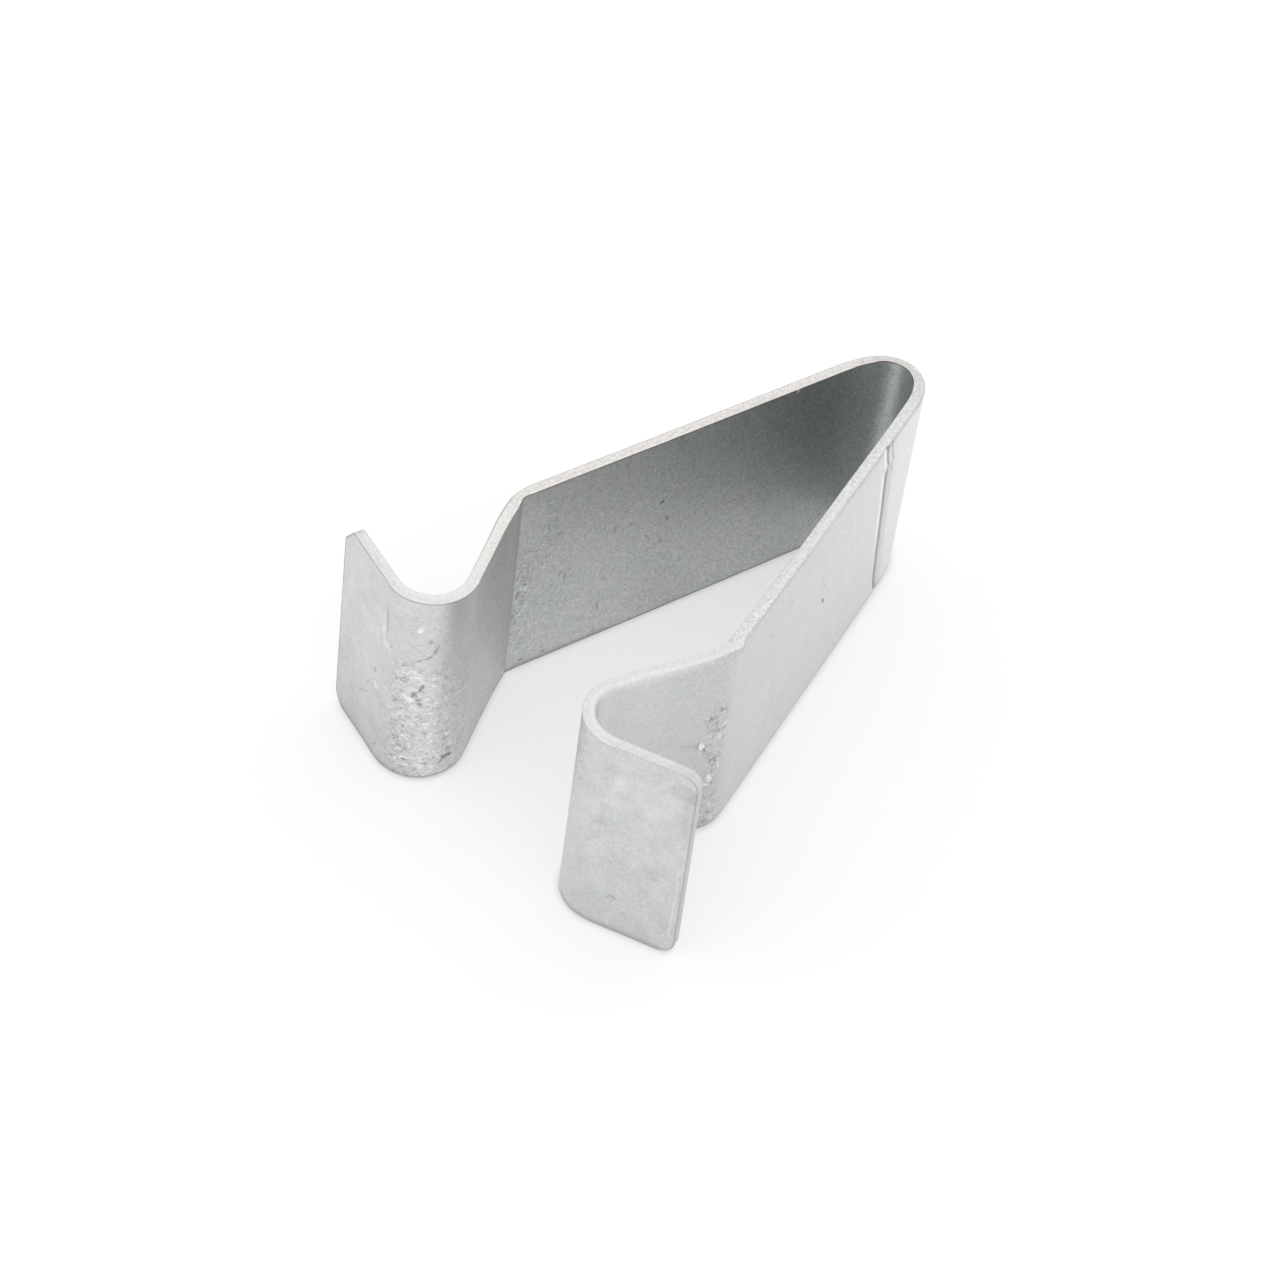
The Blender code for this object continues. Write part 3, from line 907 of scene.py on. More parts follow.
strip_place = stored("strip_mm", "Vector")
through_sheet = stored("through_sheet", "Fac")
line_distance = stored("from_line_mm", "Fac")
from_rim = stored("from_rim_mm", "Fac")
rubbed = stored("galled", "Fac")
speckle = grain(9.0, 1.0)
coarse = grain(4.5, 2.0)
clouds = grain(1.1, 3.0)
print("the coat reads five stored values and three grains")

# %% [markdown]
# Outer face, inner face or cut edge.
# The stored way through the sheet runs from 0 on the outer face to 1 on the inner face, and what
# lies between is the cut edge. From here on a pair of numbers is where a soft ramp starts and
# where it is full, either in shares of the sheet or in millimetres on the strip.

# %% Which face is which
def ramp(source, low, high, smooth=True):
    """0 at low, 1 at high."""
    made = add(tree, "ShaderNodeMapRange",
               interpolation_type="SMOOTHSTEP" if smooth else "LINEAR")
    return feed_each(tree, made, Value=source, From_Min=low, From_Max=high).outputs[0]


def times(*factors):
    """Product of several masks."""
    product = factors[0]
    for factor in factors[1:]:
        product = maths(tree, "MULTIPLY", product, factor)
    return product


def between(source, starts, ends):
    """1 between a ramp that rises over its pair of places and one that falls over its own."""
    return times(ramp(source, *starts), ramp(source, *ends))


def moved(base, mask, level, clamp=False):
    """A base with a mask added to it at some level."""
    return maths(tree, "MULTIPLY_ADD", mask, level, base, clamp=clamp)


OUTER_SIDE = (0.13, 0.07)
INNER_SIDE = (0.97, 0.995)
strip_parts = add(tree, "ShaderNodeSeparateXYZ")
feed(tree, strip_parts.inputs[0], strip_place)
strip_along = strip_parts.outputs["X"]
strip_up = strip_parts.outputs["Z"]
off_middle = maths(tree, "ABSOLUTE", strip_along)
outer_side = ramp(through_sheet, *OUTER_SIDE)
inner_side = ramp(through_sheet, *INNER_SIDE)
cut_edge = maths(tree, "SUBTRACT", 1.0, maths(tree, "ADD", outer_side, inner_side), clamp=True)
print("three masks: outer side, inner side, cut edge")

# %% [markdown]
# Light and dark marks.
# Marks in steel have ragged borders. So the place on the strip is shaken a little by a fine noise
# before any mark is drawn, and every mark in the list becomes one small group node.

# %% Draw the marks
RAGGED = 0.20
RAGGED_SCALE = 4.5
shake = noise_texture(tree, strip_place, RAGGED_SCALE, detail=1.0)
flat_strip = feed_each(tree, add(tree, "ShaderNodeCombineXYZ"),
                       X=maths(tree, "SUBTRACT", strip_along, RAGGED / 2),
                       Z=maths(tree, "SUBTRACT", strip_up, RAGGED / 2))
ragged_place = vector_maths(tree, "MULTIPLY_ADD", shake.outputs["Color"], (RAGGED, 0.0, RAGGED),
                            flat_strip.outputs[0])


def sum_of_marks(marks, brightness_sign):
    """All dark marks, or all bright ones, as one mask."""
    total = 0.0
    for from_nose, height, length, width, slant, depth, brightness in marks:
        if brightness * brightness_sign <= 0:
            continue
        cosine, sine = math.cos(math.radians(slant)), math.sin(math.radians(slant))
        made = feed_each(tree, add(tree, "ShaderNodeGroup", node_tree=mark_group),
                         Strip_place=ragged_place, Middle=(from_nose, 0.0, height),
                         Lengthways=(-cosine / length, 0.0, sine / length),
                         Sideways=(sine / width, 0.0, cosine / width))
        total = maths(tree, "MULTIPLY_ADD", made.outputs["Mask"], abs(brightness), total)
    return total


dark_marks, bright_marks = (
    maths(tree, "ADD", times(sum_of_marks(OUTER_MARKS, sign), outer_side),
          times(sum_of_marks(INNER_MARKS, sign), inner_side), clamp=True) for sign in (-1, 1))
print("nodes in the coat so far:", len(tree.nodes))

# %% [markdown]
# The pressed line's painted shade and highlight.
# Shade is painted into the groove: it is crisp on the side away from the nose, with a painted
# highlight on the ridge beyond it, and fades out towards the nose. Near its top a second, fainter
# line of painted shade runs beside it.

# %% Shade the pressed line
LINE_SHAKE = 0.05
LINE_KEPT = 0.85              # the shade's even part, and how much the noise moves it
LINE_WANDER = 0.35
LINE_FADES = (0.36, 0.10)     # distances from the line, towards the nose
LINE_CRISP = (-0.12, 0.02)
ABOVE_KINK = (8.2, 8.7)       # heights
BELOW_RIM = (9.7, 9.35)
NARROWER = 0.45
shaken_line = moved(line_distance, coarse, LINE_SHAKE)
above_kink = ramp(strip_up, *ABOVE_KINK)
narrow_part = times(above_kink, ramp(strip_up, *BELOW_RIM))
narrowed_line = times(shaken_line, moved(1.0, narrow_part, NARROWER))
line_wander = moved(LINE_KEPT, coarse, LINE_WANDER, clamp=True)
line_shade = times(ramp(narrowed_line, *LINE_FADES), ramp(shaken_line, *LINE_CRISP), line_wander)

APRON_FADES = (1.00, 0.55)
APRON_STARTS = (0.10, 0.32)
APRON_LEVEL = 0.20
SECOND_STARTS = (0.37, 0.48)
SECOND_FADES = (0.64, 0.52)
SECOND_HEIGHTS = (7.9, 8.6)
SECOND_LEVEL = 0.55
apron = times(between(shaken_line, APRON_STARTS, APRON_FADES),
              maths(tree, "SUBTRACT", 1.0, above_kink))
second_line = times(between(shaken_line, SECOND_STARTS, SECOND_FADES),
                    ramp(strip_up, *SECOND_HEIGHTS))
line_shade = moved(line_shade, apron, APRON_LEVEL, clamp=True)
line_shade = times(moved(line_shade, second_line, SECOND_LEVEL, clamp=True), outer_side)

GLINT_STARTS = (-0.38, -0.26)
GLINT_FADES = (-0.05, -0.15)
GLINT_HEIGHTS = (2.0, 5.5)
line_glint = times(between(shaken_line, GLINT_STARTS, GLINT_FADES),
                   ramp(strip_up, *GLINT_HEIGHTS), outer_side)
print("the shade reaches", APRON_FADES[0], "mm towards the nose, the bright line",
      -GLINT_STARTS[0], "mm the other way")

# %% [markdown]
# Helpers for colour.
# One mixes two colours by a mask, one writes a neutral grey, one turns a tone into a colour, and
# one gives a tone that changes along the strip, drawn as a curve through a few places.

# %% Helpers for colour
CURVE_SPAN = 62.2


def mix_colour(amount, first, second, blend="MIX"):
    """Colour mix of two colours by a mask."""
    made = add(tree, "ShaderNodeMix", data_type="RGBA", blend_type=blend)
    feed(tree, made.inputs[0], amount)
    feed(tree, made.inputs[6], first)
    feed(tree, made.inputs[7], second)
    return made.outputs[2]


def grey(value):
    """A neutral colour with the zinc's slight green."""
    return (value * 0.985, value, value * 0.99, 1.0)


def as_colour(tone):
    """A colour with one tone in all its channels."""
    return feed_each(tree, add(tree, "ShaderNodeCombineColor"), Red=tone, Green=tone,
                     Blue=tone).outputs[0]


def tone_curve(points):
    """A tone that changes along the strip, from places in mm and levels."""
    made = add(tree, "ShaderNodeFloatCurve")
    made.mapping.use_clip = False
    curve = made.mapping.curves[0]
    for number, (place, level) in enumerate(points):
        at = (place / CURVE_SPAN + 0.5, level)
        if number < 2:
            curve.points[number].location = at
        else:
            curve.points.new(*at)
    for point in curve.points:
        point.handle_type = "AUTO_CLAMPED"
    made.mapping.update()
    feed(tree, made.inputs["Value"],
         maths(tree, "MULTIPLY_ADD", strip_along, 1 / CURVE_SPAN, 0.5))
    return made.outputs[0]


print("a tone curve spans", CURVE_SPAN, "mm, the whole strip")


# %% [markdown]
# Painted shade and light along the faces.
# The inner faces carry painted shade inside the V, deepest near the nose, where the two arms shade
# each other. The outer face carries painted light by the nose and painted shade on the right leg.
# Each list gives places along the strip and the share of the colour that stays.

# %% Painted shade and light on both faces
# painted shade: the inner faces darken inside the V, most near the nose
INNER_SHADE_TONE = [(-31.1, 0.98), (-25.5, 0.98), (-24.0, 0.92), (-18.0, 0.86), (-8.0, 0.78),
              (-3.0, 0.76), (0.0, 0.78), (1.0, 0.78), (3.0, 0.71), (5.0, 0.70), (8.0, 0.74),
              (11.0, 0.76), (13.0, 0.81), (15.0, 0.84), (17.0, 0.85), (18.3, 0.85), (20.0, 0.81),
              (22.0, 0.81), (23.5, 0.84), (24.5, 0.90), (25.2, 0.97), (26.0, 1.0), (27.0, 0.97),
              (28.5, 0.98), (31.1, 0.97)]
# painted light on the outer face by the nose, painted shade on the right leg's outer face
OUTER_LIGHT_SHADE_TONE = [(-31.1, 1.0), (-24.0, 1.0), (-22.2, 0.965), (-21.0, 0.92), (-20.3, 0.905),
              (-19.3, 0.90), (-18.2, 0.975), (-12.0, 1.02), (-5.0, 1.08), (-3.6, 1.16),
              (-2.0, 1.18), (0.0, 1.15), (31.1, 1.06)]
inner_shade_tone = tone_curve(INNER_SHADE_TONE)
outer_light_shade_tone = tone_curve(OUTER_LIGHT_SHADE_TONE)
face_tone = moved(times(inner_shade_tone, inner_side), outer_light_shade_tone, outer_side)
face_tone = maths(tree, "ADD", face_tone, cut_edge)
print("places on the two tone curves:", len(INNER_SHADE_TONE), len(OUTER_LIGHT_SHADE_TONE))

# %% [markdown]
# Darker feet, a darker leg top and a lighter rim.
# Both lips and the outer faces carry painted shade towards the ground, where they mirror the shaded
# floor next to the steel. The left leg is darker towards its top, and the right leg's outer face is
# lighter along its upper rim.

# %% Painted shade at the feet, a darker leg top and a lighter rim
LIPS = (25.0, 27.5)
FOOT_HEIGHTS = (6.0, 0.0)
LIP_LOW_SHADE = 0.10
LEFT_FOOT_MORE = 0.03
OUTER_LOW_SHADE = 0.070
lip_side = ramp(off_middle, *LIPS)
foot = ramp(strip_up, *FOOT_HEIGHTS)
# painted shade: the lips and the outer faces darken towards the ground
lip_shade_level = moved(LIP_LOW_SHADE, maths(tree, "SIGN", strip_along), LEFT_FOOT_MORE)
face_tone = maths(tree, "SUBTRACT", face_tone, times(foot, lip_side, lip_shade_level))
face_tone = moved(face_tone, times(foot, outer_side), -OUTER_LOW_SHADE)

LEFT_LEG_STARTS = (12.0, 15.0)
LEFT_LEG_ENDS = (25.0, 24.0)
LEG_TOP_HEIGHTS = (4.0, 8.0)
LEG_TOP_DARKER = 0.05
left_leg = times(between(strip_along, LEFT_LEG_STARTS, LEFT_LEG_ENDS), inner_side)
face_tone = moved(face_tone, times(ramp(strip_up, *LEG_TOP_HEIGHTS), left_leg), -LEG_TOP_DARKER)

UPPER_RIM_REACH = (0.45, 0.0)
RIGHT_LEG_STARTS = (-19.0, -20.3)
UPPER_RIM_HEIGHTS = (5.0, 6.0)
UPPER_RIM_LEVEL = 0.14
upper_rim_lighter = times(ramp(from_rim, *UPPER_RIM_REACH), ramp(strip_along, *RIGHT_LEG_STARTS), outer_side,
                 ramp(strip_up, *UPPER_RIM_HEIGHTS))
face_tone = moved(face_tone, upper_rim_lighter, UPPER_RIM_LEVEL)
print("the lips' feet lose", LIP_LOW_SHADE, "and the right leg's rim gains", UPPER_RIM_LEVEL)

# %% [markdown]
# Clouds and grain.
# The lips were handled most and carry soft clouds. The grain is nearly twice as strong on the film
# in the V.

# %% Clouds and grain
CLOUD_LEVEL = 0.045
LIP_CLOUD_LEVEL = 0.140
GRAIN_LEVEL = 0.120
COARSE_LEVEL = 0.055
FILM_GRAIN = 0.8
FILM_ENDS = (25.0, 22.0)
cloud_level = moved(CLOUD_LEVEL, lip_side, LIP_CLOUD_LEVEL - CLOUD_LEVEL)
tone = moved(face_tone, clouds, cloud_level)
grains = moved(times(coarse, COARSE_LEVEL), speckle, GRAIN_LEVEL)
in_film = times(inner_side, ramp(off_middle, *FILM_ENDS))
grains = times(grains, moved(1.0, in_film, FILM_GRAIN))
tone = maths(tree, "ADD", tone, grains)
print("grain moves the tone by", GRAIN_LEVEL, "and clouds by", CLOUD_LEVEL, "to", LIP_CLOUD_LEVEL)

# %% [markdown]
# Galled zinc.
# Where the zinc galled on the tool, a curled noise breaks it into dark pits and bright crumbs. The
# crest of the left neck is a little lighter.

# %% Galled zinc
GALL_LEVEL = 0.40
PIT_LEVEL = 0.22
CRUMB_LEVEL = 0.20
PITS = (-0.20, -0.46)         # levels of the noise
CRUMBS = (0.22, 0.50)
GALL_STRETCH = (0.85, 1.0, 1.0)
curled = noise_texture(tree, vector_maths(tree, "MULTIPLY", strip_place, GALL_STRETCH),
                       scale=6.0, detail=2.0, roughness=0.65, distortion=1.0)
curl = maths(tree, "MULTIPLY_ADD", curled.outputs[0], NOISE_SPREAD, -NOISE_SPREAD / 2)
gall_tone = moved(times(curl, GALL_LEVEL), ramp(curl, *PITS), -PIT_LEVEL)
gall_tone = moved(gall_tone, ramp(curl, *CRUMBS), CRUMB_LEVEL)
tone = moved(tone, gall_tone, rubbed)

CREST_STARTS = (25.1, 25.6)
CREST_ENDS = (26.6, 26.1)
CREST_HEIGHTS = (6.6, 5.6)
CREST_LEVEL = 0.05
crest = times(between(strip_along, CREST_STARTS, CREST_ENDS), ramp(strip_up, *CREST_HEIGHTS),
              inner_side)
tone = moved(tone, crest, CREST_LEVEL)
body_colour = mix_colour(1.0, ZINC, as_colour(tone), "MULTIPLY")
print("galling moves the tone by", GALL_LEVEL, "and its pits take", PIT_LEVEL, "more")

# %% [markdown]
# Faint colour in the film.
# The clear film over zinc is so thin that it takes on a faint colour, a little lilac in one
# place and a little green in the next. The film inside the V leans towards blue by the nose
# and towards green further out.

# %% Faint colour in the film
FILM_BY_NOSE = (0.977, 1.0, 1.010, 1.0)
FILM_FURTHER = (0.985, 1.0, 0.985, 1.0)
BY_NOSE = (16.0, 4.0)
CAST_SPREAD = 0.12
CAST_SCALE = 0.9
film_colour = mix_colour(ramp(strip_along, *BY_NOSE, smooth=False), FILM_FURTHER, FILM_BY_NOSE)
body_colour = mix_colour(in_film, body_colour,
                         mix_colour(1.0, body_colour, film_colour, "MULTIPLY"))
cast = vector_maths(tree, "MULTIPLY_ADD",
                    noise_texture(tree, place_mm, CAST_SCALE, detail=2.0).outputs[0],
                    (CAST_SPREAD, 0.0, CAST_SPREAD),
                    (1 - CAST_SPREAD / 2, 1.0, 1 - CAST_SPREAD / 2))
body_colour = mix_colour(1.0, body_colour, cast, "MULTIPLY")
print("the film's colour moves red and blue by up to", CAST_SPREAD / 2)

# %% [markdown]
# The cut edge's colour.
# The shear leaves clean steel that the zinc bath covered thinly, so the edge is paler than the
# faces and more speckled. It is darkest at the nose and at the ends, and lightest on the legs.
# Beyond the elbows it is smoother. Along the left arm it has a warmer cast, from a first breath of
# rust, and a painted highlight along its burr side.

# %% The cut edge's colour
EDGE_TONE = [(-31.1, 0.72), (-30.6, 0.71), (-30.0, 0.72), (-29.5, 0.76), (-28.0, 0.77),
             (-26.5, 0.81), (-20.5, 0.81), (-18.5, 0.78), (-8.0, 0.775), (-3.0, 0.775),
             (-1.5, 0.73), (0.0, 0.71), (1.5, 0.73), (3.0, 0.78), (18.5, 0.78), (20.5, 0.83),
             (26.5, 0.83), (28.0, 0.80), (30.1, 0.80), (30.6, 0.64), (31.1, 0.64)]
EDGE_COARSE = 0.13
EDGE_GRAIN = 0.13
BEYOND_ELBOWS = (18.0, 21.0)
SMOOTHER = 0.45
edge_grains = moved(times(speckle, EDGE_GRAIN), coarse, EDGE_COARSE)
edge_grains = times(edge_grains, moved(1.0, ramp(off_middle, *BEYOND_ELBOWS), -SMOOTHER))
edge_tone = maths(tree, "ADD", tone_curve(EDGE_TONE), edge_grains)

TORN_BAND = (0.44, 0.56)      # shares of the way through the sheet
TORN_DULL = 0.03
BURR = (0.68, 0.80)
BURR_STARTS = (6.0, 12.0)
BURR_ENDS = (20.0, 18.0)
BURR_GLINT = 0.05
edge_tone = moved(edge_tone, ramp(through_sheet, *TORN_BAND), -TORN_DULL)
# painted highlight along the burr side of the left arm's edge
burr = times(ramp(through_sheet, *BURR), between(strip_along, BURR_STARTS, BURR_ENDS))
edge_tone = moved(edge_tone, burr, BURR_GLINT)

EDGE_CAST = (0.997, 1.010, 0.987, 1.0)
EDGE_WARM = (1.032, 1.0, 0.967, 1.0)
WARM_STARTS = (-2.5, 0.0)
WARM_ENDS = (25.0, 18.5)
warm_edge = between(strip_along, WARM_STARTS, WARM_ENDS)
edge_colour = mix_colour(1.0, as_colour(edge_tone), mix_colour(warm_edge, EDGE_CAST, EDGE_WARM),
                         "MULTIPLY")
levels = [level for place, level in EDGE_TONE]
print("tones of the cut edge:", min(levels), "at the left end and", max(levels), "on the legs")

# %% [markdown]
# The rims of the faces.
# Where the cut edge meets the inner face stands a fine burr, and a painted hairline of shade runs
# under it, darkest inside the V. On the outer face the edge was drawn round, and a wider, broken
# line of painted shade follows it on the arm that faces the viewer and a narrower one on the other
# arm.

# %% The rims' shade
INNER_RIM = [(-31.1, 0.48), (-30.5, 0.42), (-29.9, 0.12), (-24.5, 0.12), (-20.5, 0.40),
             (-1.0, 0.60), (1.0, 0.95), (18.8, 0.95), (20.5, 0.50), (27.0, 0.50), (28.0, 0.62),
             (31.1, 0.70)]
OUTER_RIM = [(-31.1, 0.06), (-19.5, 0.06), (-18.0, 0.16), (-9.0, 0.20), (-4.0, 0.34), (-1.5, 0.32),
             (0.0, 0.20), (1.5, 0.10), (18.0, 0.08), (20.5, 0.04), (31.1, 0.04)]
INNER_RIM_REACH = (0.11, 0.03)
RIM_KEPT = 0.75               # a rim's even part, and how much the noise moves it
RIM_WANDER = 0.5
rim_wander = moved(RIM_KEPT, coarse, RIM_WANDER, clamp=True)
# painted hairline of shade under the burr, deepest inside the V
inner_rim = times(ramp(from_rim, *INNER_RIM_REACH), inner_side, rim_wander, tone_curve(INNER_RIM))

OUTER_RIM_SIDE = (0.18, 0.08)
OUTER_RIM_REACH = (0.32, 0.06)
OUTER_RIM_KEPT = 0.8
OUTER_RIM_WANDER = 0.7
slow_wander = moved(OUTER_RIM_KEPT, clouds, OUTER_RIM_WANDER, clamp=True)
# painted shade along the outer face's drawn-round rim
outer_rim = times(ramp(through_sheet, *OUTER_RIM_SIDE), ramp(from_rim, *OUTER_RIM_REACH),
                  slow_wander, tone_curve(OUTER_RIM))

ROLLOVER_SIDE = (0.22, 0.10)
ROLLOVER_REACH = (0.13, 0.05)
ROLLOVER_STARTS = (0.5, 2.0)
ROLLOVER_ENDS = (25.5, 18.0)
ROLLOVER_LEVEL = 0.56
# painted shade on the left arm's rollover
left_rollover = times(ramp(through_sheet, *ROLLOVER_SIDE), ramp(from_rim, *ROLLOVER_REACH),
                      between(strip_along, ROLLOVER_STARTS, ROLLOVER_ENDS), ROLLOVER_LEVEL)
outer_rim = maths(tree, "MAXIMUM", outer_rim, left_rollover)
print("shade of the inner rim at the left arm:", max(level for place, level in INNER_RIM),
      "and of the outer rim by the nose:", max(level for place, level in OUTER_RIM))

# %% [markdown]
# The feet's shade.
# Next to the ground both faces carry a painted contact shadow. The shade reaches higher on the lips
# and on the last stretch of the left arm.

# %% The feet's shade
FOOT_LEVEL = 0.50
FOOT_REACH = (0.17, 0.06)     # heights
LIP_FOOT_LEVEL = 0.34
LIP_FOOT_REACH = (0.34, 0.10)
LEFT_FOOT_LEVEL = 0.40
LEFT_FOOT_REACH = (0.30, 0.14)
LEFT_FOOT_STARTS = (12.8, 14.0)
LEFT_FOOT_ENDS = (19.2, 18.6)
# painted contact shadow along the feet
foot_shade = times(ramp(strip_up, *FOOT_REACH), rim_wander, FOOT_LEVEL)
lip_foot = times(ramp(strip_up, *LIP_FOOT_REACH), lip_side, inner_side, rim_wander,
                 LIP_FOOT_LEVEL)
left_foot = times(ramp(strip_up, *LEFT_FOOT_REACH), inner_side,
                  between(strip_along, LEFT_FOOT_STARTS, LEFT_FOOT_ENDS), rim_wander,
                  LEFT_FOOT_LEVEL)
rim_shade = inner_rim
for shade in (foot_shade, lip_foot, left_foot):
    rim_shade = maths(tree, "MAXIMUM", rim_shade, shade)
print("the feet darken up to", LIP_FOOT_REACH[0], "mm from the ground")

# %% [markdown]
# All colours together.
# The layers go on in this order: coat, edge, painted shade along the rims and feet, the pressed
# line's painted shade and painted highlight, then dark and bright marks. The painted shade along
# the left arm's rims is brown with rust, and all other painted shade and the dark marks are grey.

# %% All colours together
LINE_DARK = 0.90
LINE_BRIGHT = 0.75
MARK_DARK = 0.75
MARK_BRIGHT = 0.85
DIRT_AND_SHADE = grey(0.14)
ROLLOVER_SHADE = grey(0.16)
GROOVE_SHADE = grey(0.22)
BARE = grey(0.95)
GLINT_GREY = grey(0.96)
RUSTY_SHADE = (0.160, 0.137, 0.124, 1.0)
colour = mix_colour(cut_edge, body_colour, edge_colour)
# painted shade along the outer rims
colour = mix_colour(outer_rim, colour, ROLLOVER_SHADE)
# painted shade along the inner rims and the feet
colour = mix_colour(rim_shade, colour, mix_colour(warm_edge, DIRT_AND_SHADE, RUSTY_SHADE))
# painted shade in the pressed line
colour = mix_colour(times(line_shade, LINE_DARK), colour, GROOVE_SHADE)
# painted highlight on the pressed line's ridge
colour = mix_colour(times(line_glint, LINE_BRIGHT), colour, GLINT_GREY)
# dark marks: dirt in the dents, and painted shade at the right lip's end
colour = mix_colour(times(dark_marks, MARK_DARK), colour, DIRT_AND_SHADE)
colour = mix_colour(times(bright_marks, MARK_BRIGHT), colour, BARE)
feed(tree, shader.inputs["Base Color"], colour)
print("nodes in the coat with its colours:", len(tree.nodes))

# %% [markdown]
# How it reflects.
# Zinc is a metal, but its satin grain spreads the reflections. The cut edge and the rubbed places
# are a little rougher than the faces. The bump follows the same noises as the colour.

# %% Roughness, metal and bump
ROUGHNESS = 0.40
roughness = ROUGHNESS
for mask, more in ((clouds, 0.03), (speckle, 0.04), (cut_edge, 0.12), (rubbed, 0.06)):
    roughness = moved(roughness, mask, more)
feed(tree, shader.inputs["Roughness"], roughness)
METALLIC = 0.95
EDGE_LESS_METALLIC = 0.35
feed(tree, shader.inputs["Metallic"], moved(METALLIC, cut_edge, -EDGE_LESS_METALLIC))

GALL_BUMP = 2.5
BUMP_STRENGTH = 0.5
BUMP_DISTANCE = 0.004 * MM
bump = feed_each(tree, add(tree, "ShaderNodeBump"), Strength=BUMP_STRENGTH,
                 Distance=BUMP_DISTANCE,
                 Height=moved(coarse, times(curl, rubbed), GALL_BUMP))
feed(tree, shader.inputs["Normal"], bump.outputs[0])
print("nodes in the coat:", len(tree.nodes))

# %% [markdown]
# Fold it.
# The tree's inputs are set by each socket's identifier, then Blender works the modifier out, and
# the result is kept as a plain mesh on the same object. The folded clip then stands for the packed
# one.

# %% Apply the fold
ROOM_FOR_LONGER_ENDS = 0.5 * MM   # the last run goes on past the drawn end, or the walk stops there
modifier = blank.modifiers.new("fold", "NODES")
modifier.node_group = fold
identifiers = {item.name: item.identifier for item in fold.interface.items_tree
               if item.in_out == "INPUT"}
for name, (length, turn) in RUNS.items():
    modifier[identifiers[f"{name} length"]] = float(length)
    modifier[identifiers[f"{name} turn"]] = float(turn)
modifier[identifiers["Lip length"]] = float(LIP_LENGTH + ROOM_FOR_LONGER_ENDS)
modifier[identifiers["Nose tip"]] = node_high.x - SHEET / 2
modifier[identifiers["Coat"]] = coat
bpy.context.view_layer.update()
graph = bpy.context.evaluated_depsgraph_get()
folded_mesh = bpy.data.meshes.new_from_object(blank.evaluated_get(graph),
                                              preserve_all_data_layers=True, depsgraph=graph)
folded_mesh.name = CLIP + "_dressed"
blank.modifiers.remove(modifier)
blank.data = folded_mesh
clip = blank

SHARP = math.radians(32.0)
folded_mesh.shade_smooth()
folded_mesh.set_sharp_from_angle(angle=SHARP)
low, high = (Vector([end(vert.co[axis] for vert in folded_mesh.vertices) for axis in range(3)])
             for end in (min, max))
print("folded clip, in mm:", [round(side / MM, 3) for side in (high - low)])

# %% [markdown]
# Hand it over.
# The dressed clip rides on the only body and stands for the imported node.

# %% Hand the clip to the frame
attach(clip, "root")
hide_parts(CLIP)
print(clip.name, "stands for", CLIP)

# %% [markdown]
# The floor.
# The photograph has a white ground that keeps only a soft shadow near the clip. The floor is
# plain white paint lit by the room, and a little light of its own, seen only by the camera and by
# mirror rays, lifts it to white. The shadow stays, because the paint part still darkens under the
# clip, and the added light weakens within a third of a millimetre of the steel.

# %% Floor
FLOOR_HALF = 600 * MM
floor_z = low.z
corners = [(x * FLOOR_HALF, y * FLOOR_HALF, floor_z)
           for x, y in ((-1, -1), (1, -1), (1, 1), (-1, 1))]
floor_mesh = bpy.data.meshes.new("floor")
floor_mesh.from_pydata(corners, [], [(0, 1, 2, 3)])
floor = bpy.data.objects.new("floor", floor_mesh)
bpy.context.scene.collection.objects.link(floor)
paper = bpy.data.materials.new("white_floor")
paper.use_nodes = True
tree = paper.node_tree
tree.nodes.clear()
FLOOR_WHITE = 0.46
FLOOR_LIFT = 0.575
diffuse = add(tree, "ShaderNodeBsdfDiffuse")
diffuse.inputs["Color"].default_value = (FLOOR_WHITE, FLOOR_WHITE, FLOOR_WHITE, 1.0)
rays = add(tree, "ShaderNodeLightPath")
seen = maths(tree, "MAXIMUM", rays.outputs["Is Camera Ray"],
             maths(tree, "MAXIMUM", rays.outputs["Is Glossy Ray"],
                   rays.outputs["Is Transmission Ray"]))
CONTACT_REACH = 0.3 * MM
CONTACT_SHADE = 0.40
near_steel = feed_each(tree, add(tree, "ShaderNodeAmbientOcclusion", samples=4),
                       Distance=CONTACT_REACH)
open_share = maths(tree, "MULTIPLY_ADD", near_steel.outputs["AO"], CONTACT_SHADE,
                   1 - CONTACT_SHADE)
glow = add(tree, "ShaderNodeEmission")
feed(tree, glow.inputs["Strength"], times(seen, FLOOR_LIFT, open_share))
both = add(tree, "ShaderNodeAddShader")
feed(tree, both.inputs[0], diffuse.outputs[0])
feed(tree, both.inputs[1], glow.outputs[0])
feed(tree, add(tree, "ShaderNodeOutputMaterial").inputs["Surface"], both.outputs[0])
floor_mesh.materials.append(paper)
print(f"floor {floor_z / MM:.3f} mm below the origin's height")

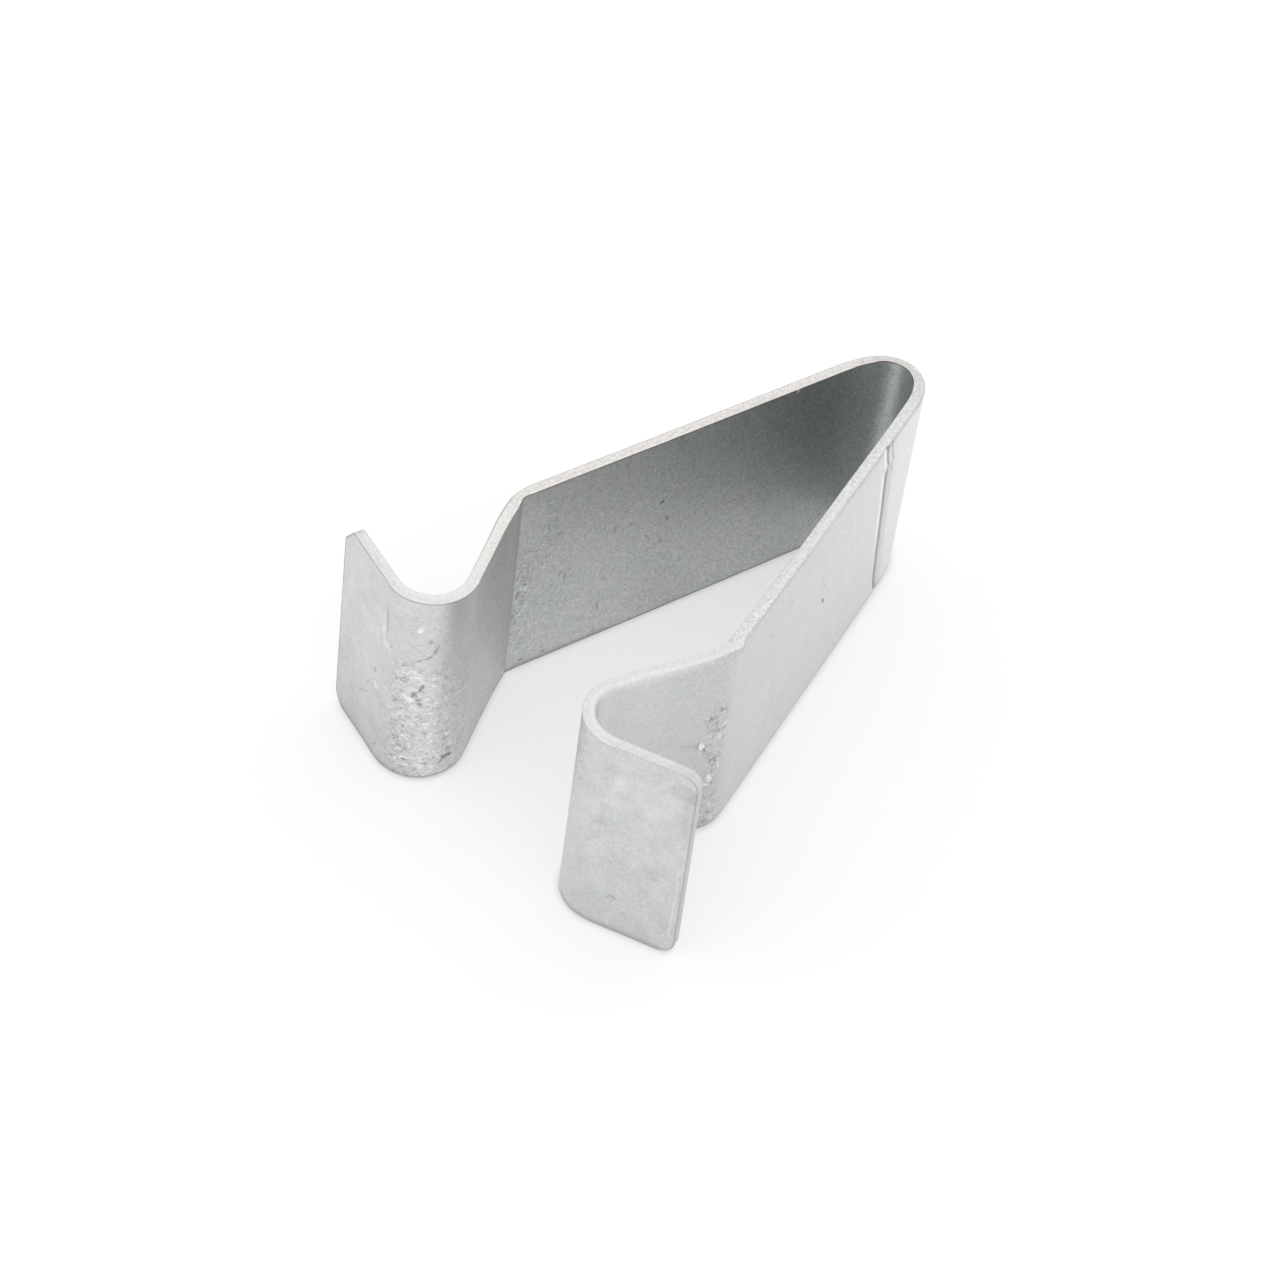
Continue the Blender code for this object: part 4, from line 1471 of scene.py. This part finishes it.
# %% [markdown]
# The room's light.
# The photograph was taken in an even white surround: every face is lit, nothing shows a lamp, and
# the shadow on the ground is soft on all sides. So the world is the only light, plain white at
# the level where a colour renders as it is written.

# %% World
world = bpy.data.worlds.new("white_room")
bpy.context.scene.world = world
world.use_nodes = True
background = world.node_tree.nodes["Background"]
background.inputs["Color"].default_value = (1.0, 1.0, 1.0, 1.0)
background.inputs["Strength"].default_value = 1.0
print("world strength:", background.inputs["Strength"].default_value)

# %% [markdown]
# The camera.
# Its place and heading were worked out from the outline of the clip in the photograph, knowing
# the strip's width. It looks down at 46 degrees along the clip and is rolled a little.

# %% Camera
CAMERA_PLACE = Vector((-90.30, -62.66, 116.755)) * MM
CAMERA_HEADING = math.radians(35.76)
CAMERA_DOWN = math.radians(46.32)
CAMERA_ROLL = math.radians(8.15)
FOCAL_LENGTH = 108.43         # this and the sensor as Blender wants them, in mm
SENSOR_WIDTH = 36.0

towards = Vector((math.cos(CAMERA_DOWN) * math.cos(CAMERA_HEADING),
                  math.cos(CAMERA_DOWN) * math.sin(CAMERA_HEADING), -math.sin(CAMERA_DOWN)))
level_right = towards.cross(Vector((0, 0, 1))).normalized()
level_up = level_right.cross(towards)
camera_up = math.cos(CAMERA_ROLL) * level_up - math.sin(CAMERA_ROLL) * level_right
camera_right = math.cos(CAMERA_ROLL) * level_right + math.sin(CAMERA_ROLL) * level_up
camera_data = bpy.data.cameras.new("camera")
camera_data.lens = FOCAL_LENGTH
camera_data.sensor_width = SENSOR_WIDTH
camera_data.sensor_fit = "HORIZONTAL"
camera_data.clip_start = 1 * MM
camera_data.clip_end = 10000 * MM
camera = bpy.data.objects.new("camera", camera_data)
bpy.context.scene.collection.objects.link(camera)
turned = Matrix((camera_right, camera_up, -towards)).transposed().to_4x4()
camera.matrix_world = Matrix.Translation(CAMERA_PLACE) @ turned
bpy.context.scene.camera = camera
bpy.context.scene.view_settings.view_transform = "Standard"
print("camera to nose, in mm:", round((CAMERA_PLACE - Vector((high.x, 0, 0))).length / MM, 1))
